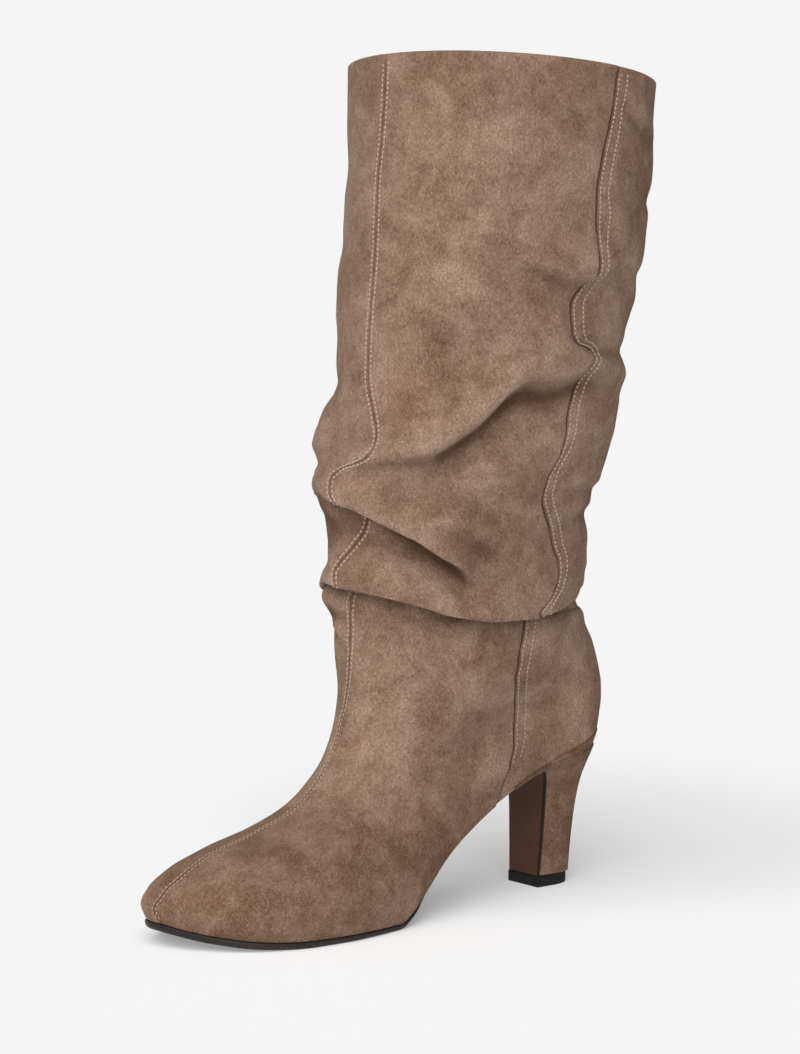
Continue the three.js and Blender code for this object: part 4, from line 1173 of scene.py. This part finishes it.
@dataclass
class Heel:
    """Suede-covered heel with its breast facing and top lift."""

    last: Last
    gap: float = 0.3
    lift_depth: float = 24.6
    lift_width: float = 21.4
    lift_thickness: float = 5.5
    facing_thickness: float = 1.3
    cover_rise: float = 0.085
    cover_lift: float = -0.2
    breast_at: float = 0.196
    # rise, way ahead to the breast line, half width as a share of the seat's round
    breast: Table = ((0.0, 0.0, 0.375), (0.35, -0.09, 0.42), (0.7, -0.14, 0.465), (0.85, -0.06, 0.52),
                     (0.94, 0.2, 0.64), (0.985, 0.56, 0.79), (1.0, 1.0, 0.88))
    # rise, half width, back, place of the widest point
    block: Table = ((0.0, 0.4, 0.56, 0.5), (0.18, 0.425, 0.59, 0.5), (0.38, 0.46, 0.635, 0.5), (0.6, 0.52, 0.71, 0.5),
                    (0.76, 0.62, 0.795, 0.48), (0.88, 0.77, 0.88, 0.46), (1.0, 0.97, 0.985, 0.45))

    @property
    def lift_front(self) -> float:
        """Return the X of the lift's front edge."""
        return -self.lift_depth / 2.0

    @property
    def foot(self) -> float:
        """Return the height of the heel's lowest ring."""
        return self.lift_thickness + self.gap

    def breast_point(self, rise: Array, behind: float) -> tuple[Array, Array]:
        """Return the X and Z of the breast's face in the middle plane, moved back square to it."""
        line = self.last.x_at(self.breast_at)
        top = float(self.last.underside(np.array(line)))

        def at(r: Array) -> tuple[Array, Array]:
            """Return the face's own X and Z."""
            return (self.lift_front + (line - self.lift_front) * column(self.breast, r, 1),
                    self.foot + (top - self.foot) * r)

        (ax, az), (bx, bz) = at(np.minimum(rise + 0.004, 1.0)), at(np.maximum(rise - 0.004, 0.0))
        dx, dz = ax - bx, az - bz
        size = np.hypot(dx, dz)
        x, z = at(rise)
        return x + dz / size * behind, z - dx / size * behind

    def ring(self, front: float, back: float, waist: float, front_half: float, half: float, z, count: int = 22) -> Array:
        """Return a ring with a straight front edge and a round back."""
        widest = front + (back - front) * waist
        share = np.linspace(0.0, 1.0, count)
        x = front + (widest - front) * share
        y = front_half + (half - front_half) * np.sin(share * math.pi / 2.0)
        turn = np.linspace(0.0, math.pi / 2.0, count + 1)[1:]
        x = np.concatenate([[front], x, widest + (back - widest) * np.sin(turn)])
        y = np.concatenate([[0.0], y, half * np.cos(turn)])
        x = np.concatenate([x, x[1:-1][::-1]])
        y = np.concatenate([-y, y[1:-1][::-1]])
        return np.stack([x, y, z(x) if callable(z) else np.full_like(x, z)], -1)

    def lift(self) -> bpy.types.Object:
        """Build the rubber top lift with softened edges."""
        steps = ((0.5, 0.0), (0.14, 0.14), (0.0, 0.5), (0.0, self.lift_thickness - 0.35), (0.1, self.lift_thickness - 0.08),
                 (0.35, self.lift_thickness))
        rings = [self.ring(self.lift_front + inset, self.lift_depth / 2.0 - inset, 0.5, self.lift_width / 2.0 - inset,
                           self.lift_width / 2.0 + self.gap - inset, z) for inset, z in steps]
        return stack_object("lift_dressed", np.stack(rings))

    def facing(self) -> bpy.types.Object:
        """Build the leather facing of the breast, with edges rounded off and marked for their dark dressing."""
        rises = 1.0 - (1.0 - np.linspace(0.0, 1.0, 90)) ** 2
        fx, fz = self.breast_point(rises, 0.0)
        rx, rz = self.breast_point(rises, self.facing_thickness)
        rz[0], rx[-1] = fz[0], fx[-1]
        half = self.last.seat_round * column(self.breast, rises, 2)
        across = np.concatenate([np.linspace(0.0, 0.9, 6), [0.95, 0.98, 1.0]])
        depth = np.concatenate([np.zeros(6), [0.04, 0.14, 0.36]])
        side = [(a, d) for a, d in zip(across, depth)] + [(1.0, 0.8), (0.985, 1.0)]
        loop = side + [(-a, d) for a, d in side[1:]][::-1]
        rings = np.stack([np.stack([fx + (rx - fx) * d, -half * a, fz + (rz - fz) * d], -1) for a, d in loop], 1)
        edge = np.broadcast_to(np.array([smooth(np.array(abs(a)), 0.9, 0.97) for a, _ in loop])[None], rings.shape[:2])
        return stack_object("heel_breast", rings, {"edge": edge})

    def cover(self) -> bpy.types.Object:
        """Build the suede cover of the heel block."""
        rings = []
        lowest = -1.0
        for share in 1.0 - (1.0 - np.linspace(0.0, 1.0, 90)) ** 2:
            x, z = (float(value) for value in self.breast_point(np.array(share), self.facing_thickness + self.gap))
            z = self.foot if share == 0.0 else z
            rise = 1.0 if share == 1.0 else (z - self.foot) / (float(self.last.seat(np.array(x))) - self.foot)
            if rise - lowest < 0.004 or (1.0 - rise < 0.004 and share < 1.0):
                continue
            lowest = rise
            at = np.array(rise)
            half = self.last.seat_round * float(column(self.block, at, 1))
            back = self.last.heel_back * float(column(self.block, at, 2))
            front_half = min(self.last.seat_round * float(column(self.breast, np.array(share), 2)), half)
            rings.append(self.ring(x, back, float(column(self.block, at, 3)), front_half, half,
                                   lambda x_all, r=rise: self.foot + (self.last.seat(x_all) - self.foot) * r))
        rings = np.stack(rings)
        zeros = np.zeros(rings.shape[:2])
        # shade mark: a fixed darkening of the heel cover, partly painted shade at the back
        return stack_object("heel_cover", rings, {"fold": zeros, "seam": zeros, "shade": zeros + 0.45})

    def cover_top(self, form: UpperForm) -> bpy.types.Object:
        """Build the upper edge of the cover, drawn up over the back of the upper."""
        turn = np.radians(np.linspace(118.0, 242.0, 150))[None]
        back = np.maximum(-np.cos(turn), 0.0)
        top = self.cover_rise * smooth(back, 0.45, 1.0)
        x, y = self.last.edge(turn, 1.5)
        rows = [np.stack([x, y, self.last.seat(x) - 1.6], -1)]
        x, y = self.last.edge(turn, 0.2)
        rows.append(np.stack([x, y, self.last.seat(x) - 0.4], -1))
        for share in np.linspace(0.0, 1.0, 12):
            rows.append(form.surface(share * top, turn, self.cover_lift)[0])
        rows.append(form.surface(top + 0.003, turn, self.cover_lift * 0.7)[0])
        rows.append(form.surface(top + 0.004, turn, -0.4)[0])
        points = np.concatenate(rows)
        zeros = np.zeros(points.shape[:2])
        seam = zeros.copy()
        # dark line at the cover's top edge: cut edge and painted shadow
        seam[-2:] = 0.35
        # shade mark: a fixed darkening, partly painted shade at the back
        marks = {"fold": zeros, "seam": seam, "shade": zeros + 0.4}
        return mesh_object("heel_cover_top", points, grid_faces(*zeros.shape), marks)

    def build(self, form: UpperForm, suede: bpy.types.Material, leather: bpy.types.Material,
              rubber: bpy.types.Material) -> None:
        """Build and dress the heel."""
        fit_piece(self.cover(), suede, "heel_block")
        fit_piece(self.cover_top(form), suede)
        fit_piece(self.facing(), leather, "breast_facing")
        fit_piece(self.lift(), rubber, "top_lift")


# Studio

@dataclass
class Studio:
    """Pale floor, soft light and the camera."""

    target: tuple[float, float, float] = (-60.0, 0.0, 190.0)
    azimuth: float = -38.87
    elevation: float = 3.90
    distance: float = 1100.77
    focal_pixels: float = 2342.95
    shift_right: float = -22.83
    shift_up: float = -13.22
    picture_height: float = 1054.0
    white: float = 0.913
    floor_glow: float = 0.27

    def axes(self) -> tuple[Array, Array, Array]:
        """Return the camera's right, up and backward directions."""
        a, e = math.radians(self.azimuth), math.radians(self.elevation)
        right = np.array([math.cos(a), math.sin(a), 0.0])
        up = np.array([-math.sin(a) * math.sin(e), math.cos(a) * math.sin(e), math.cos(e)])
        back = np.array([math.sin(a) * math.cos(e), -math.cos(a) * math.cos(e), math.sin(e)])
        return right, up, back

    def camera(self) -> None:
        """Place the camera."""
        right, up, back = self.axes()
        eye = np.array(self.target) + self.shift_right * right + self.shift_up * up + self.distance * back
        data = bpy.data.cameras.new("camera")
        data.sensor_fit = "VERTICAL"
        data.sensor_height = 36.0
        data.lens = self.focal_pixels * data.sensor_height / self.picture_height
        data.clip_end = 200.0
        camera = bpy.data.objects.new("camera", data)
        bpy.context.scene.collection.objects.link(camera)
        turned = np.eye(4)
        turned[:3, 0], turned[:3, 1], turned[:3, 2], turned[:3, 3] = right, up, back, eye * MM
        camera.matrix_world = Matrix(turned.tolist())
        bpy.context.scene.camera = camera

    def floor(self) -> None:
        """Lay a pale floor that fades into the background at a distance."""
        size = 40.0
        mesh = bpy.data.meshes.new("floor")
        mesh.from_pydata([(-size, -size, 0), (size, -size, 0), (size, size, 0), (-size, size, 0)], [], [(0, 1, 2, 3)])
        floor = bpy.data.objects.new("floor", mesh)
        bpy.context.scene.collection.objects.link(floor)
        material, tree, shader = open_material("pale_floor")
        shader.inputs["Base Color"].default_value = (0.72, 0.72, 0.72, 1.0)
        shader.inputs["Emission Color"].default_value = (1.0, 1.0, 1.0, 1.0)
        shader.inputs["Emission Strength"].default_value = self.floor_glow
        shader.inputs["Roughness"].default_value = 0.9
        shader.inputs["Specular IOR Level"].default_value = 0.0
        glow = node(tree, "Emission", {"Color": (1.0, 1.0, 1.0, 1.0), "Strength": self.white})
        where = node(tree, "TexCoord").outputs["Object"]
        away = node(tree, "VectorMath", {0: where}, operation="LENGTH").outputs["Value"]
        share = node(tree, "MapRange", {"Value": away, "From Min": 0.2, "From Max": 0.5}, interpolation_type="SMOOTHSTEP")
        blend = node(tree, "MixShader", {0: share.outputs["Result"], 1: shader.outputs[0], 2: glow.outputs[0]})
        tree.links.new(blend.outputs[0], tree.nodes["Material Output"].inputs["Surface"])
        mesh.materials.append(material)

    def sun(self, name: str, strength: float, azimuth: float, elevation: float, spread_deg: float) -> None:
        """Hang a wide sun lamp that shines from an azimuth and elevation."""
        data = bpy.data.lights.new(name, "SUN")
        data.energy = strength
        data.angle = math.radians(spread_deg)
        lamp = bpy.data.objects.new(name, data)
        bpy.context.scene.collection.objects.link(lamp)
        a, e = math.radians(azimuth), math.radians(elevation)
        back = np.array([math.sin(a) * math.cos(e), -math.cos(a) * math.cos(e), math.sin(e)])
        right = np.array([math.cos(a), math.sin(a), 0.0])
        turned = np.eye(4)
        turned[:3, 0], turned[:3, 1], turned[:3, 2] = right, np.cross(back, right), back
        lamp.matrix_world = Matrix(turned.tolist())

    def sky(self) -> None:
        """Light the room evenly and show a white background."""
        scene = bpy.context.scene
        scene.view_settings.view_transform = "Standard"
        world = bpy.data.worlds.new("room")
        scene.world = world
        world.use_nodes = True
        tree = world.node_tree
        shown = tree.nodes["Background"]
        shown.inputs["Color"].default_value = (1.0, 1.0, 1.0, 1.0)
        shown.inputs["Strength"].default_value = self.white
        light = node(tree, "Background", {"Color": (1.0, 1.0, 1.0, 1.0), "Strength": 0.15})
        ray = node(tree, "LightPath").outputs["Is Camera Ray"]
        blend = node(tree, "MixShader", {0: ray, 1: light.outputs[0], 2: shown.outputs[0]})
        tree.links.new(blend.outputs[0], tree.nodes["World Output"].inputs["Surface"])

    def build(self) -> None:
        """Set up the studio."""
        self.camera()
        self.floor()
        self.sky()
        self.sun("key", 2.3, -60.0, 54.0, 60.0)
        self.sun("front", 1.55, -46.0, 12.0, 50.0)
        self.sun("rim", 0.3, -125.0, 30.0, 40.0)
        log.info("studio ready")


def main() -> None:
    """Build the boot's looks and log each piece's face count."""
    groups = Groups(suede_nap(), skin_grain(), floor_dust())
    Studio().build()
    last = Last()
    form = UpperForm(last, creases=SHAFT_CREASES, trims=OUTLINE_TRIMS, front_seam=FRONT_SEAM, side_seam=SIDE_SEAM)
    suede = {panel: SuedeFinish(f"suede_{panel.value}", shift=0.37 * i).build(groups) for i, panel in enumerate(Panel)}
    lining = SkinFinish("lining_leather", linear(185, 166, 143), linear(170, 148, 124), (0.62, 0.8)).build(groups)
    upper = Upper(form)
    upper.build(suede, lining)
    Stitching(upper).build(ThreadFinish("thread").build(groups))
    sole_edge = SkinFinish("sole_edge", linear(28, 21, 19), linear(42, 32, 28), (0.42, 0.6), shine=0.3,
                           dust=0.08).build(groups)
    Sole(last).build(sole_edge, lining)
    heel_suede = SuedeFinish("suede_heel", shift=2.1, patch_size=20.0).build(groups)
    leather = SkinFinish("sole_leather", linear(74, 46, 32), linear(84, 54, 38), (0.45, 0.6), shine=0.16,
                         edge=linear(26, 19, 15)).build(groups)
    rubber = SkinFinish("lift_rubber", linear(19, 19, 20), linear(28, 27, 28), (0.55, 0.72), shine=0.16,
                        dust=0.05).build(groups)
    Heel(last).build(form, heel_suede, leather, rubber)


if __name__ == "__main__":
    main()
